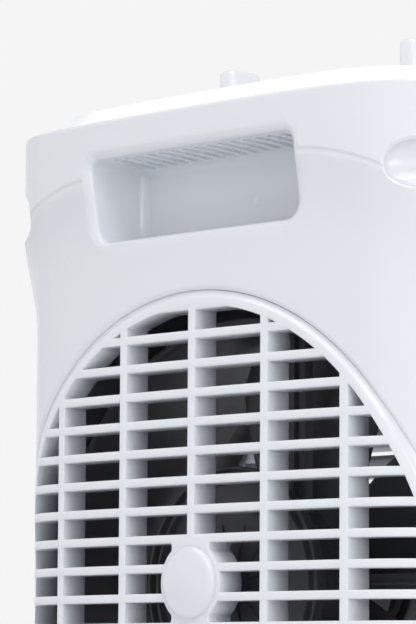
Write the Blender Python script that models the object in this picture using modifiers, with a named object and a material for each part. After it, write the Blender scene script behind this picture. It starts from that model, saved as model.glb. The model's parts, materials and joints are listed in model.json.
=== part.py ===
"""Box fan: a moulded casing with a fixed rear intake grille, a revolving front louvre, a motor and
five-bladed impeller inside, and a speed knob and a timer knob on its lid.

Metres, +Z up. The front (air outlet) faces -Y, the hub axis runs along Y at height HUB_Z, and Z is 0 on
the surface that the feet stand on."""

from math import atan2, cos, pi, radians, sin, sqrt

import bmesh
import bpy
from mathutils import Matrix, Vector

# Driving dimensions.
PITCH = 0.016
HUB_Z = 0.192
GAP = 0.0003

# Casing.
CASE_HALF_WIDTH = 0.170
CASE_HALF_DEPTH = 0.095
CASE_BOTTOM = 0.012
CASE_TOP = HUB_Z + 16.39 * PITCH
CASE_REAR_CORNER = 0.055
CASE_FRONT_CORNER = 0.020
CAVITY_FRONT_CORNER = 0.012
COVER_HALF_WIDTH = 0.162
COVER_STEP = 0.0075
COVER_CORNER = 0.041
COVER_SWEEP = 0.060
WALL = 0.003
CREASE_PEAK = HUB_Z + 14.55 * PITCH
CREASE_END = HUB_Z + 13.6 * PITCH
CREASE_REACH = 0.140
SEAM_Y = 0.0
SEAM_TOP_Y = 0.050

# Crown of the rear face: how far it falls back at a distance x from the middle.
CROWN_2 = 0.00259 / PITCH
CROWN_4 = 0.000067 / PITCH**3

# Rear grille.
OPENING_RADIUS = 0.1603
GRILLE_RADIUS = 0.1600
GRILLE_BORE = 0.1520
GRILLE_DEPTH = 0.0177
SLAT = 0.0047
SLATS = 20
RIB = 0.0051
RIB_SPACING = 3.41 * PITCH
BOSS_RADIUS = 0.023
CAP_RADIUS = 0.019

# Carrying-handle recess in the rear face.
HANDLE_HALF_WIDTH = 0.080
HANDLE_BOTTOM = HUB_Z + 12.1 * PITCH
HANDLE_TOP = HUB_Z + 15.05 * PITCH
HANDLE_DEPTH = 0.042
HANDLE_CORNER = 0.010
GRIP_GROOVES = 15
GRIP_PITCH = 0.0093
GRIP_HALF_WIDTH = 0.0024
GRIP_DEPTH = 0.0013

# Finger scoops on the rear corners.
SCOOP_Z = HUB_Z + 13.65 * PITCH
SCOOP_HALF_HEIGHT = 0.0144
SCOOP_HALF_WIDTH = 0.050
SCOOP_DEPTH = 0.006

# Lid and knobs.
LID_BOTTOM = CASE_TOP + GAP
LID_EDGE = 0.0105
LID_INSET = 0.0065
LID_CORNER = 0.080
LID_CROWN = 0.0085
LID_TOP = LID_BOTTOM + LID_EDGE + LID_CROWN
KNOB_X = 0.071
KNOB_Y = -0.023
KNOB_RADIUS = 0.0135
KNOB_TOP = HUB_Z + 19.15 * PITCH
KNOB_DISC = 0.008
KNOB_GRIP = 0.0125

# Air path, from the front: louvre, bracket, impeller, motor, grille.
OUTLET_RADIUS = 0.1503
TUNNEL_RADIUS = 0.1435
DUCT_WALL = 0.0025
LOUVRE_RADIUS = 0.146
LOUVRE_FRONT = -0.0945
LOUVRE_BACK = -0.0765
LOUVRE_VANES = 18
BRACKET_FRONT = -0.0735
BRACKET_BACK = -0.0615
BLADE_RADIUS = 0.140
BLADE_HUB_RADIUS = 0.031
BLADE_FRONT = -0.047
BLADE_BACK = -0.009
MOTOR_RADIUS = 0.046
MOTOR_FRONT = 0.003
MOTOR_BACK = 0.054
FLANGE_RADIUS = 0.065
SHAFT_RADIUS = 0.004

for old in list(bpy.data.objects):
    bpy.data.objects.remove(old, do_unlink=True)

parts = bpy.data.collections.new("box_fan")
cutters = bpy.data.collections.new("cutters")
cutters.hide_render = True
bpy.context.scene.collection.children.link(parts)
bpy.context.scene.collection.children.link(cutters)


def principled(name, colour, roughness, metallic=0.0):
    """A plain Principled material."""
    material = bpy.data.materials.new(name)
    material.use_nodes = True
    shader = material.node_tree.nodes["Principled BSDF"]
    shader.inputs["Base Color"].default_value = (*colour, 1)
    shader.inputs["Roughness"].default_value = roughness
    shader.inputs["Metallic"].default_value = metallic
    return material


def mesh_object(name, bm, smooth=False):
    """An object in the cutters collection, made of a bmesh, which is freed."""
    mesh = bpy.data.meshes.new(name)
    bmesh.ops.recalc_face_normals(bm, faces=bm.faces)
    bm.to_mesh(mesh)
    bm.free()
    obj = bpy.data.objects.new(name, mesh)
    cutters.objects.link(obj)
    obj.hide_render = True
    obj.display_type = "WIRE"
    if smooth:
        mesh.shade_smooth()
        mesh.set_sharp_from_angle(angle=radians(35))
    return obj


def box(low, high, bevel=0.0, axis=None, segments=1):
    """A block between two corners. With a bevel, the edges along axis, or all of them, are rounded."""
    bm = bmesh.new()
    bmesh.ops.create_cube(bm, size=1)
    size = Vector(high) - Vector(low)
    bmesh.ops.scale(bm, vec=size, verts=bm.verts)
    bmesh.ops.translate(bm, vec=(Vector(low) + Vector(high)) / 2, verts=bm.verts)
    if bevel:
        edges = [
            edge
            for edge in bm.edges
            if axis is None or abs((edge.verts[0].co - edge.verts[1].co).normalized()[axis]) > 0.9
        ]
        bmesh.ops.bevel(bm, geom=edges, offset=bevel, segments=segments, profile=0.5, affect="EDGES")
    return mesh_object("block", bm)


SMOOTH = 48


def rod(radius, start, end, sides=24):
    """A cylinder from one point to another."""
    start = Vector(start)
    end = Vector(end)
    along = end - start
    bm = bmesh.new()
    bmesh.ops.create_cone(
        bm,
        cap_ends=True,
        segments=sides,
        radius1=radius,
        radius2=radius,
        depth=along.length,
    )
    turn = along.to_track_quat("Z", "Y").to_matrix().to_4x4()
    bmesh.ops.transform(bm, matrix=Matrix.Translation((start + end) / 2) @ turn, verts=bm.verts)
    return mesh_object("rod", bm, smooth=True)


def turned(profile, steps=24):
    """A solid turned about Z from (radius, height) points that run down its outer side."""
    mesh = bpy.data.meshes.new("profile")
    points = [(radius, 0, height) for radius, height in profile]
    mesh.from_pydata(points, [(i, i + 1) for i in range(len(points) - 1)], [])
    guide = bpy.data.objects.new("profile", mesh)
    cutters.objects.link(guide)
    screw = guide.modifiers.new("Turn", "SCREW")
    screw.steps = steps
    screw.render_steps = steps
    screw.use_merge_vertices = True
    screw.merge_threshold = 0.00001
    return solidified(guide)


def solidified(guide):
    """The mesh that an object evaluates to, as a new object in its place."""
    bpy.context.view_layer.update()
    graph = bpy.context.evaluated_depsgraph_get()
    mesh = bpy.data.meshes.new_from_object(guide.evaluated_get(graph))
    bm = bmesh.new()
    bm.from_mesh(mesh)
    bmesh.ops.remove_doubles(bm, verts=bm.verts, dist=0.000005)
    bmesh.ops.dissolve_degenerate(bm, edges=bm.edges, dist=0.000005)
    bm.transform(guide.matrix_world)
    bpy.data.objects.remove(guide, do_unlink=True)
    bpy.data.meshes.remove(mesh)
    return mesh_object("solid", bm, smooth=True)


def slab(outline, low, high):
    """A flat outline of (x, y) points, filled and extruded from one height to another."""
    curve = bpy.data.curves.new("outline", "CURVE")
    curve.dimensions = "2D"
    curve.fill_mode = "BOTH"
    curve.extrude = (high - low) / 2
    spline = curve.splines.new("POLY")
    spline.points.add(len(outline) - 1)
    for point, (x, y) in zip(spline.points, outline):
        point.co = (x, y, 0, 1)
    spline.use_cyclic_u = True
    guide = bpy.data.objects.new("outline", curve)
    guide.location.z = (low + high) / 2
    cutters.objects.link(guide)
    return solidified(guide)


def placed(obj, matrix):
    """The same object with its mesh moved by a matrix."""
    obj.data.transform(matrix)
    return obj


def along_y(obj, y, x=0.0, z=HUB_Z, facing=1):
    """Turns a solid made about Z so that its top faces +Y, or -Y where facing is -1."""
    turn = Matrix.Rotation(radians(-90 * facing), 4, "X")
    return placed(obj, Matrix.Translation((x, y, z)) @ turn)


def combine(obj, others, operation):
    """Applies one Boolean for each other object, and removes the others."""
    for other in others:
        step = obj.modifiers.new("Boolean", "BOOLEAN")
        step.operation = operation
        step.solver = "EXACT"
        step.object = other
    bpy.context.view_layer.update()
    graph = bpy.context.evaluated_depsgraph_get()
    mesh = bpy.data.meshes.new_from_object(obj.evaluated_get(graph))
    for other in others:
        bpy.data.objects.remove(other, do_unlink=True)
    obj.modifiers.clear()
    obj.data = mesh
    return obj


def union(obj, *others):
    return combine(obj, others, "UNION")


def cut(obj, *others):
    return combine(obj, others, "DIFFERENCE")


def common(obj, *others):
    return combine(obj, others, "INTERSECT")


def finish(obj, name, material, origin=None):
    """Names a finished piece, gives it its material and origin and moves it to the parts collection."""
    bm = bmesh.new()
    bm.from_mesh(obj.data)
    bmesh.ops.remove_doubles(bm, verts=bm.verts, dist=0.000003)
    bmesh.ops.dissolve_degenerate(bm, edges=bm.edges, dist=0.000003)
    bm.to_mesh(obj.data)
    bm.free()
    obj.name = name
    obj.data.name = name
    obj.data.materials.clear()
    obj.data.materials.append(material)
    obj.data.shade_smooth()
    obj.data.set_sharp_from_angle(angle=radians(35))
    cutters.objects.unlink(obj)
    parts.objects.link(obj)
    obj.hide_render = False
    obj.display_type = "TEXTURED"
    if origin is not None:
        obj.data.transform(Matrix.Translation(-Vector(origin)))
        obj.location = origin
    return obj


WHITE = principled("casing white", (0.80, 0.81, 0.85), 0.38)
BRIGHT = principled("lid white", (0.90, 0.90, 0.91), 0.32)
GREY = principled("motor grey", (0.18, 0.185, 0.20), 0.5)
BLADE = principled("blade grey", (0.30, 0.31, 0.34), 0.35)
STEEL = principled("steel", (0.60, 0.60, 0.62), 0.35, 1.0)
LAMINATION = principled("laminated steel", (0.32, 0.32, 0.34), 0.5, 1.0)
BRASS = principled("brass", (0.70, 0.55, 0.28), 0.4, 1.0)
RUBBER = principled("rubber", (0.03, 0.03, 0.032), 0.85)
SWITCH = principled("switch body", (0.08, 0.08, 0.085), 0.5)


def crown(x):
    """How far the rear face has fallen back at x."""
    return CROWN_2 * x**2 + CROWN_4 * x**4


def crown_slope(x):
    return 2 * CROWN_2 * x + 4 * CROWN_4 * x**3


def plan(half_width, rear, rear_corner, front, front_corner, steps=5):
    """Plan outline, anticlockwise: crowned rear face, rounded corners, straight sides, flat front."""
    corner_x = half_width - rear_corner
    tilt = atan2(crown_slope(corner_x), 1)
    start_x = corner_x + rear_corner * sin(tilt)
    corner_y = rear - crown(start_x) - rear_corner * cos(tilt)
    right = []
    for i in range(4):
        angle = -pi / 2 + i / 3 * pi / 2
        x = half_width - front_corner + front_corner * cos(angle)
        right.append((x, front + front_corner + front_corner * sin(angle)))
    for i in range(steps):
        angle = i / (steps - 1) * (pi / 2 - tilt)
        right.append((corner_x + rear_corner * cos(angle), corner_y + rear_corner * sin(angle)))
    for i in range(1, steps):
        x = start_x * (1 - i / steps)
        right.append((x, rear - crown(x)))
    left = [(-x, y) for x, y in reversed(right)]
    return right + [(0, rear)] + left


def case_plan(inset=0.0):
    return plan(
        CASE_HALF_WIDTH - inset,
        CASE_HALF_DEPTH - inset,
        CASE_REAR_CORNER - inset,
        -CASE_HALF_DEPTH + inset,
        CASE_FRONT_CORNER - inset,
    )


def cover_plan(inset=0.0, share=1.0):
    """The recessed cover's outline, or with a share below one, an outline on the way out to the casing's."""
    return plan(
        CASE_HALF_WIDTH - (CASE_HALF_WIDTH - COVER_HALF_WIDTH) * share - inset,
        CASE_HALF_DEPTH - COVER_STEP * share - inset,
        CASE_REAR_CORNER - (CASE_REAR_CORNER - COVER_CORNER) * share - inset,
        -CASE_HALF_DEPTH + inset,
        CAVITY_FRONT_CORNER,
    )


def lid_plan(inset=0.0):
    return plan(
        CASE_HALF_WIDTH - LID_INSET - inset,
        CASE_HALF_DEPTH - LID_INSET - inset,
        LID_CORNER - inset,
        -CASE_HALF_DEPTH + LID_INSET + inset,
        CASE_FRONT_CORNER - inset,
    )


def hollow_case():
    """The whole casing as one tube with closed top and bottom, before it is split at the seam."""
    case = slab(case_plan(), CASE_BOTTOM, CASE_TOP)
    cavity = slab(cover_plan(WALL), CASE_BOTTOM + WALL, CASE_TOP - WALL)
    behind_band = slab(case_plan(WALL), CREASE_PEAK + WALL, CASE_TOP - WALL)
    return cut(case, union(cavity, behind_band))


def swept_cover():
    """What the recessed cover leaves standing: it falls back from the casing's outline below the crease."""
    rings = [(cover_plan(), -0.03)]
    for i in range(5):
        part = i / 4
        rings.append((cover_plan(0, 1 - part**2.2), CREASE_PEAK - COVER_SWEEP * (1 - part)))
    rings.append((cover_plan(0, 0), 0.5))
    bm = bmesh.new()
    loops = [[bm.verts.new((x, y, z)) for x, y in ring] for ring, z in rings]
    count = len(loops[0])
    for lower, upper in zip(loops, loops[1:]):
        for i in range(count):
            bm.faces.new((lower[i], lower[(i + 1) % count], upper[(i + 1) % count], upper[i]))
    bm.faces.new(loops[-1])
    bm.faces.new(loops[0][::-1])
    bmesh.ops.triangulate(bm, faces=bm.faces)
    return mesh_object("cover", bm)


def crease_cutter():
    """What lies outside the recessed cover: below the arched crease, behind the slanted side line."""
    reach = CASE_HALF_WIDTH + 0.02
    arch = [(-reach, -0.02), (reach, -0.02)]
    steps = 14
    for i in range(steps + 1):
        x = reach * (1 - 2 * i / steps)
        arch.append((x, CREASE_PEAK - (CREASE_PEAK - CREASE_END) * (abs(x) / CREASE_REACH) ** 3))
    sheet = slab(arch, 0, 0.14)
    upright = Matrix.Translation((0, 0.14, 0)) @ Matrix.Rotation(pi / 2, 4, "X")
    sheet = placed(sheet, upright)
    side = [(SEAM_Y + GAP, -0.02), (0.2, -0.02), (0.2, 0.45), (SEAM_TOP_Y, 0.45), (SEAM_TOP_Y, SCOOP_Z)]
    side.append((SEAM_Y + GAP, HUB_Z - 6 * PITCH))
    slope = slab(side, -reach, reach)
    slope = placed(slope, Matrix(((0, 0, 1, 0), (1, 0, 0, 0), (0, 1, 0, 0), (0, 0, 0, 1))))
    sheet = common(sheet, slope)
    return cut(sheet, swept_cover())


def scoop_cutter(side):
    """An ellipsoid that cuts a shallow finger scoop in a rear corner."""
    bm = bmesh.new()
    bmesh.ops.create_uvsphere(bm, u_segments=20, v_segments=10, radius=1)
    stand_off = 0.012
    scale = Matrix.Diagonal((SCOOP_HALF_WIDTH, SCOOP_DEPTH + stand_off, SCOOP_HALF_HEIGHT * 1.25, 1))
    corner_x = CASE_HALF_WIDTH - CASE_REAR_CORNER
    corner_y = CASE_HALF_DEPTH - crown(corner_x + 0.01) - CASE_REAR_CORNER
    reach = CASE_REAR_CORNER + stand_off
    middle = (corner_x + reach * cos(pi / 4), corner_y + reach * sin(pi / 4), SCOOP_Z)
    bm.transform(Matrix.Translation(middle) @ Matrix.Rotation(-pi / 4, 4, "Z") @ scale)
    scoop = mesh_object("scoop", bm, smooth=True)
    return scoop if side > 0 else mirrored(scoop)


def mirrored(obj):
    """The object mirrored in X, with its faces still facing out."""
    bm = bmesh.new()
    bm.from_mesh(obj.data)
    bm.transform(Matrix.Scale(-1, 4, (1, 0, 0)))
    bmesh.ops.reverse_faces(bm, faces=bm.faces)
    bm.to_mesh(obj.data)
    bm.free()
    return obj


def handle_pocket(grow):
    """The block of the handle recess, or with grow the block of its walls."""
    low = (-HANDLE_HALF_WIDTH - grow, CASE_HALF_DEPTH - 0.003 - HANDLE_DEPTH - grow, HANDLE_BOTTOM - grow)
    back = 0.02 if grow == 0 else -0.0025
    high = (HANDLE_HALF_WIDTH + grow, CASE_HALF_DEPTH + back, HANDLE_TOP + grow)
    return box(low, high, bevel=HANDLE_CORNER + grow, axis=1, segments=3)


def grip_grooves():
    """Grooves that run front to back in the ceiling of the handle recess."""
    grooves = []
    for i in range(GRIP_GROOVES):
        x = (i - (GRIP_GROOVES - 1) / 2) * GRIP_PITCH
        back = CASE_HALF_DEPTH - HANDLE_DEPTH + 0.003
        low = (x - GRIP_HALF_WIDTH, back, HANDLE_TOP - 0.001)
        high = (x + GRIP_HALF_WIDTH, CASE_HALF_DEPTH - 0.012, HANDLE_TOP + GRIP_DEPTH)
        grooves.append(box(low, high))
    return grooves


SHELL_SCREWS = [
    (side * (CASE_HALF_WIDTH - 0.019), z)
    for side in (-1, 1)
    for z in (CASE_BOTTOM + 0.012, HUB_Z - 0.085)
]
SCREW_RADIUS = 0.002


def shell_screw_holes():
    """Bores for the casing screws, from the rear into the front half, with countersunk seats."""
    holes = []
    for x, z in SHELL_SCREWS:
        holes.append(rod(SCREW_RADIUS + GAP, (x, -0.0203, z), (x, 0.05, z), sides=12))
        holes.append(rod(0.0045 + GAP, (x, 0.012 - GAP, z), (x, 0.11, z), sides=16))
    return holes


def shell_bosses(low, high):
    """Posts inside the casing that the casing screws go through."""
    posts = []
    for x, z in SHELL_SCREWS:
        away = 0.0095
        posts.append(box((x - away, low, z - away), (x + away, high, z + away)))
    return posts


def build_rear_shell():
    shell = hollow_case()
    shell = union(shell, handle_pocket(WALL))
    shell = cut(shell, crease_cutter())
    shell = cut(shell, handle_pocket(0))
    shell = cut(shell, *grip_grooves())
    shell = cut(shell, scoop_cutter(1), scoop_cutter(-1))
    shell = union(shell, *shell_bosses(-0.03, 0.030))
    opening = rod(OPENING_RADIUS, (0, 0.03, HUB_Z), (0, 0.12, HUB_Z), sides=SMOOTH)
    shell = cut(shell, opening, *shell_screw_holes())
    shell = cut(shell, *lid_openings(), inlet_hole())
    shell = cut(shell, box((-0.3, -0.3, -0.1), (0.3, SEAM_Y + GAP / 2, 0.6)))
    return finish(shell, "rear_shell", WHITE)


def build_front_shell():
    shell = hollow_case()
    shell = union(shell, *shell_bosses(-0.030, 0.03))
    opening = rod(OUTLET_RADIUS, (0, -0.12, HUB_Z), (0, -0.07, HUB_Z), sides=SMOOTH)
    shell = cut(shell, opening, *shell_screw_holes())
    shell = cut(shell, *lid_openings())
    shell = cut(shell, box((-0.3, SEAM_Y - GAP / 2, -0.1), (0.3, 0.3, 0.6)))
    return finish(shell, "front_shell", WHITE)


def lid_openings():
    """Holes in the casing's top for the switch bodies."""
    holes = []
    half = 0.020
    for side in (-1, 1):
        x = side * KNOB_X
        low = (x - half, KNOB_Y - half, CASE_TOP - 0.01)
        holes.append(box(low, (x + half, KNOB_Y + half, CASE_TOP + 0.01)))
    return holes


INLET_X = 0.120
INLET_Z = CASE_BOTTOM + 0.030


def inlet_y():
    return CASE_HALF_DEPTH - COVER_STEP - crown(INLET_X) - 0.0002


def inlet_hole():
    return rod(0.0075, (INLET_X, 0.05, INLET_Z), (INLET_X, 0.12, INLET_Z), sides=24)


def cover_y(x):
    """Height of the recessed cover's rear surface at x, on its crown or on its corner's arc."""
    corner_x = COVER_HALF_WIDTH - COVER_CORNER
    tilt = atan2(crown_slope(corner_x), 1)
    start_x = corner_x + COVER_CORNER * sin(tilt)
    rear = CASE_HALF_DEPTH - COVER_STEP
    if abs(x) <= start_x:
        return rear - crown(x)
    corner_y = rear - crown(start_x) - COVER_CORNER * cos(tilt)
    return corner_y + sqrt(COVER_CORNER**2 - (abs(x) - corner_x) ** 2)


def curved_plate(reach, depth, steps=10):
    """An upright plate that follows the rear surface, from it to a depth in front of it."""
    xs = [reach * sin(pi / 2 * (2 * i / steps - 1)) for i in range(steps + 1)]
    outer = [(x, cover_y(x)) for x in xs]
    inner = [(x, cover_y(x) - depth) for x in reversed(xs)]
    return slab(outer + inner, HUB_Z - reach, HUB_Z + reach)


def joined_boxes(corners):
    """Separate blocks in one object, for a single Boolean."""
    bm = bmesh.new()
    for low, high in corners:
        made = bmesh.ops.create_cube(bm, size=1)["verts"]
        bmesh.ops.scale(bm, vec=Vector(high) - Vector(low), verts=made)
        bmesh.ops.translate(bm, vec=(Vector(low) + Vector(high)) / 2, verts=made)
    return mesh_object("blocks", bm)


def ring_y(outer, inner, low, high, sides=SMOOTH):
    """A ring about the hub axis."""
    ring = rod(outer, (0, low, HUB_Z), (0, high, HUB_Z), sides=sides)
    return cut(ring, rod(inner, (0, low - 0.01, HUB_Z), (0, high + 0.01, HUB_Z), sides=sides))


BOSS_BACK = 0.0700
BOSS_FRONT = 0.0900
CAP_SEAT = 0.0850
CAP_TOP = 0.0928


def build_rear_grille():
    reach = GRILLE_RADIUS + 0.0015
    slats = []
    for i in range(SLATS):
        z = HUB_Z + (i - (SLATS - 1) / 2) * PITCH
        slats.append(((-reach, 0.03, z - SLAT / 2), (reach, 0.11, z + SLAT / 2)))
    ribs = []
    for i in range(-2, 3):
        x = i * RIB_SPACING
        ribs.append(((x - RIB / 2, 0.031, HUB_Z - reach), (x + RIB / 2, 0.109, HUB_Z + reach)))
    grid = union(joined_boxes(slats), joined_boxes(ribs))
    disc = rod(GRILLE_BORE + 0.001, (0, 0.02, HUB_Z), (0, 0.12, HUB_Z), sides=SMOOTH)
    grid = common(grid, disc)
    rim = ring_y(GRILLE_RADIUS, GRILLE_BORE, 0.025, 0.115)
    grille = common(union(grid, rim), curved_plate(reach, GRILLE_DEPTH))
    boss = rod(BOSS_RADIUS, (0, BOSS_BACK, HUB_Z), (0, BOSS_FRONT, HUB_Z), sides=40)
    seat = rod(CAP_RADIUS + GAP, (0, CAP_SEAT, HUB_Z), (0, 0.12, HUB_Z), sides=40)
    return finish(cut(union(grille, boss), seat), "rear_grille", WHITE)


def domed_cap(radius, height, rim):
    """A low dome: a straight rim, then an elliptic crown."""
    profile = []
    for i in range(5):
        angle = pi / 2 * (1 - i / 4)
        profile.append((radius * cos(angle), rim + (height - rim) * sin(angle)))
    return turned(profile + [(radius, 0), (0, 0)])


def build_rear_hub_cap():
    cap = domed_cap(CAP_RADIUS, CAP_TOP - CAP_SEAT - GAP, 0.004)
    return finish(along_y(cap, CAP_SEAT + GAP), "rear_hub_cap", WHITE)


DUCT_OUTER = OUTLET_RADIUS + DUCT_WALL
DUCT_FRONT = -CASE_HALF_DEPTH + WALL + 0.0018
DUCT_STEP = -0.0535
DUCT_BACK = 0.050
TUNNEL_OUTER = TUNNEL_RADIUS + 0.003
SPIDER_FRONT = -0.0045
SPIDER_BACK = MOTOR_FRONT - GAP
SPIDER_RADIUS = 0.036
MOTOR_SCREW_CIRCLE = 0.030
LUG_X = 0.1445


def motor_screw_places():
    for i in range(4):
        angle = pi / 4 + i * pi / 2
        yield MOTOR_SCREW_CIRCLE * cos(angle), HUB_Z + MOTOR_SCREW_CIRCLE * sin(angle)


def build_shroud():
    """A wide ring round the louvre and a narrower tunnel round the impeller, with two lugs."""
    wide = ring_y(DUCT_OUTER, OUTLET_RADIUS, DUCT_FRONT, DUCT_STEP)
    step = ring_y(DUCT_OUTER, TUNNEL_RADIUS, DUCT_STEP - DUCT_WALL, DUCT_STEP)
    tunnel = ring_y(TUNNEL_OUTER, TUNNEL_RADIUS, DUCT_STEP - DUCT_WALL / 2, DUCT_BACK)
    lugs = []
    holes = []
    for side in (-1, 1):
        x = side * LUG_X
        low_x, high_x = sorted((x - side * 0.0035, side * (OUTLET_RADIUS + 0.001)))
        lugs.append(box((low_x, BRACKET_BACK + GAP, HUB_Z - 0.008), (high_x, DUCT_STEP, HUB_Z + 0.008)))
        holes.append(rod(0.0013 + GAP, (x, -0.07, HUB_Z), (x, -0.0545, HUB_Z), sides=10))
    duct = union(wide, step, tunnel)
    return finish(cut(union(duct, *lugs), *holes), "shroud", GREY)


def build_motor_bracket():
    """The plate that carries the motor, on four arms that reach the duct."""
    half = TUNNEL_RADIUS + 0.001
    across = box((-half, SPIDER_FRONT, HUB_Z - 0.006), (half, SPIDER_BACK, HUB_Z + 0.006))
    upright = box((-0.006, SPIDER_FRONT, HUB_Z - half), (0.006, SPIDER_BACK, HUB_Z + half))
    plate = rod(SPIDER_RADIUS, (0, SPIDER_FRONT, HUB_Z), (0, SPIDER_BACK, HUB_Z))
    disc = rod(TUNNEL_RADIUS - GAP, (0, -0.05, HUB_Z), (0, 0.05, HUB_Z), sides=SMOOTH)
    bracket = common(union(across, upright, plate), disc)
    holes = [rod(0.007, (0, -0.02, HUB_Z), (0, 0.02, HUB_Z), sides=24)]
    for x, z in motor_screw_places():
        holes.append(rod(0.0018 + GAP, (x, -0.02, z), (x, 0.02, z), sides=10))
    return finish(cut(bracket, *holes), "motor_bracket", GREY)


GEARMOTOR_RADIUS = 0.0245
AXLE_RADIUS = 0.003


def build_outlet_bracket():
    """The fixed bridge across the outlet, with a ring that holds the louvre's gear motor."""
    bar = box((-0.150, BRACKET_FRONT, HUB_Z - 0.007), (0.150, BRACKET_BACK, HUB_Z + 0.007))
    bar = common(bar, rod(0.150, (0, -0.1, HUB_Z), (0, -0.03, HUB_Z), sides=SMOOTH))
    hub = rod(0.029, (0, BRACKET_FRONT, HUB_Z), (0, BRACKET_BACK, HUB_Z))
    seat = rod(GEARMOTOR_RADIUS + GAP, (0, BRACKET_FRONT + 0.0025, HUB_Z), (0, -0.03, HUB_Z))
    bore = rod(0.006, (0, -0.1, HUB_Z), (0, -0.03, HUB_Z), sides=24)
    holes = [seat, bore]
    for side in (-1, 1):
        x = side * LUG_X
        holes.append(rod(0.0013 + GAP, (x, -0.1, HUB_Z), (x, -0.03, HUB_Z), sides=10))
    return finish(cut(union(bar, hub), *holes), "outlet_bracket", GREY)


def build_louvre_gearmotor():
    front = BRACKET_FRONT + 0.0025 + GAP
    back = -0.0585
    can = turned(
        [(0, back - front), (0.022, back - front), (GEARMOTOR_RADIUS, back - front - 0.0025)]
        + [(GEARMOTOR_RADIUS, 0), (0, 0)]
    )
    can = along_y(can, front)
    socket = rod(AXLE_RADIUS + GAP, (0, front - 0.01, HUB_Z), (0, front + 0.008, HUB_Z), sides=20)
    return finish(cut(can, socket), "louvre_gearmotor", STEEL)


LOUVRE_HUB_RADIUS = 0.030
LOUVRE_SEAT = -0.0905
LOUVRE_CAP_FRONT = -0.0950
AXLE_FRONT = -0.0855
VANE = 0.002
VANE_CHORD = 0.0200
VANE_TILT = radians(38)
VANE_RIB_DEPTH = 0.016


def build_front_louvre():
    reach = LOUVRE_RADIUS
    middle = (LOUVRE_FRONT + LOUVRE_BACK) / 2
    bm = bmesh.new()
    for i in range(LOUVRE_VANES):
        z = HUB_Z + (i - (LOUVRE_VANES - 1) / 2) * PITCH
        made = bmesh.ops.create_cube(bm, size=1)["verts"]
        size = Matrix.Diagonal((2 * reach, VANE_CHORD, VANE, 1))
        turn = Matrix.Rotation(VANE_TILT, 4, "X")
        bmesh.ops.transform(bm, matrix=Matrix.Translation((0, middle, z)) @ turn @ size, verts=made)
    vanes = mesh_object("vanes", bm)
    ribs = []
    for i in (-1, 1):
        x = i * 0.055
        low = (x - 0.0015, middle - VANE_RIB_DEPTH / 2, HUB_Z - reach)
        ribs.append((low, (x + 0.0015, middle + VANE_RIB_DEPTH / 2, HUB_Z + reach)))
    grid = union(vanes, joined_boxes(ribs))
    grid = common(grid, rod(0.1435, (0, -0.12, HUB_Z), (0, -0.05, HUB_Z), sides=SMOOTH))
    rim = ring_y(LOUVRE_RADIUS, 0.1425, LOUVRE_FRONT, LOUVRE_BACK)
    hub = rod(LOUVRE_HUB_RADIUS, (0, LOUVRE_FRONT, HUB_Z), (0, LOUVRE_BACK, HUB_Z), sides=40)
    louvre = union(grid, rim, hub)
    bore = rod(AXLE_RADIUS + GAP, (0, AXLE_FRONT - GAP, HUB_Z), (0, -0.05, HUB_Z), sides=20)
    seat = rod(0.0262 + GAP, (0, -0.12, HUB_Z), (0, LOUVRE_SEAT, HUB_Z), sides=40)
    return finish(cut(louvre, bore, seat), "front_louvre", WHITE, (0, middle, HUB_Z))


def build_louvre_cap():
    cap = domed_cap(0.0262, LOUVRE_SEAT - GAP - LOUVRE_CAP_FRONT, 0.0025)
    cap = along_y(cap, LOUVRE_SEAT - GAP, facing=-1)
    return finish(cap, "louvre_cap", WHITE, (0, LOUVRE_SEAT, HUB_Z))


def build_louvre_axle():
    axle = rod(AXLE_RADIUS, (0, AXLE_FRONT, HUB_Z), (0, BRACKET_FRONT + 0.010, HUB_Z), sides=20)
    return finish(axle, "louvre_axle", STEEL, (0, AXLE_FRONT, HUB_Z))


def build_motor_housings():
    """Two turned cups that meet halfway, each with a bearing seat round the shaft."""
    middle = (MOTOR_FRONT + MOTOR_BACK) / 2
    wall = 0.0025
    depth = middle - MOTOR_FRONT - GAP / 2
    seat_depth = wall + 0.007
    profile = [
        (0.0085, wall),
        (0.0085, seat_depth),
        (0.0115, seat_depth),
        (0.0115, wall),
        (MOTOR_RADIUS - wall, wall),
        (MOTOR_RADIUS - wall, depth),
        (MOTOR_RADIUS, depth),
        (MOTOR_RADIUS, 0.006),
        (MOTOR_RADIUS - 0.006, 0),
        (0.0055, 0),
        (0.0055, wall),
        (0.0085, wall),
    ]
    front = along_y(turned(profile), MOTOR_FRONT)
    holes = [rod(0.0017 + GAP, (x, -0.02, z), (x, 0.009, z), sides=10) for x, z in motor_screw_places()]
    front = cut(front, *holes)
    flange = [(MOTOR_RADIUS, 0.0045), (FLANGE_RADIUS, 0.0045)]
    for lip in (FLANGE_RADIUS, FLANGE_RADIUS - 0.0065):
        flange += [(lip, -0.0025), (lip - 0.002, -0.0025), (lip - 0.002, 0.0015)]
        flange += [(lip - 0.0065, 0.0015)]
    flange = flange[:-1]
    closed = profile[:7] + flange + [(MOTOR_RADIUS - 0.004, 0.0015), (MOTOR_RADIUS - 0.006, 0)]
    closed += [(0, 0), (0, wall), (0.0085, wall)]
    rear = along_y(turned(closed), MOTOR_BACK, facing=-1)
    finish(front, "motor_housing_front", GREY)
    finish(rear, "motor_housing_rear", GREY)


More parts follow.
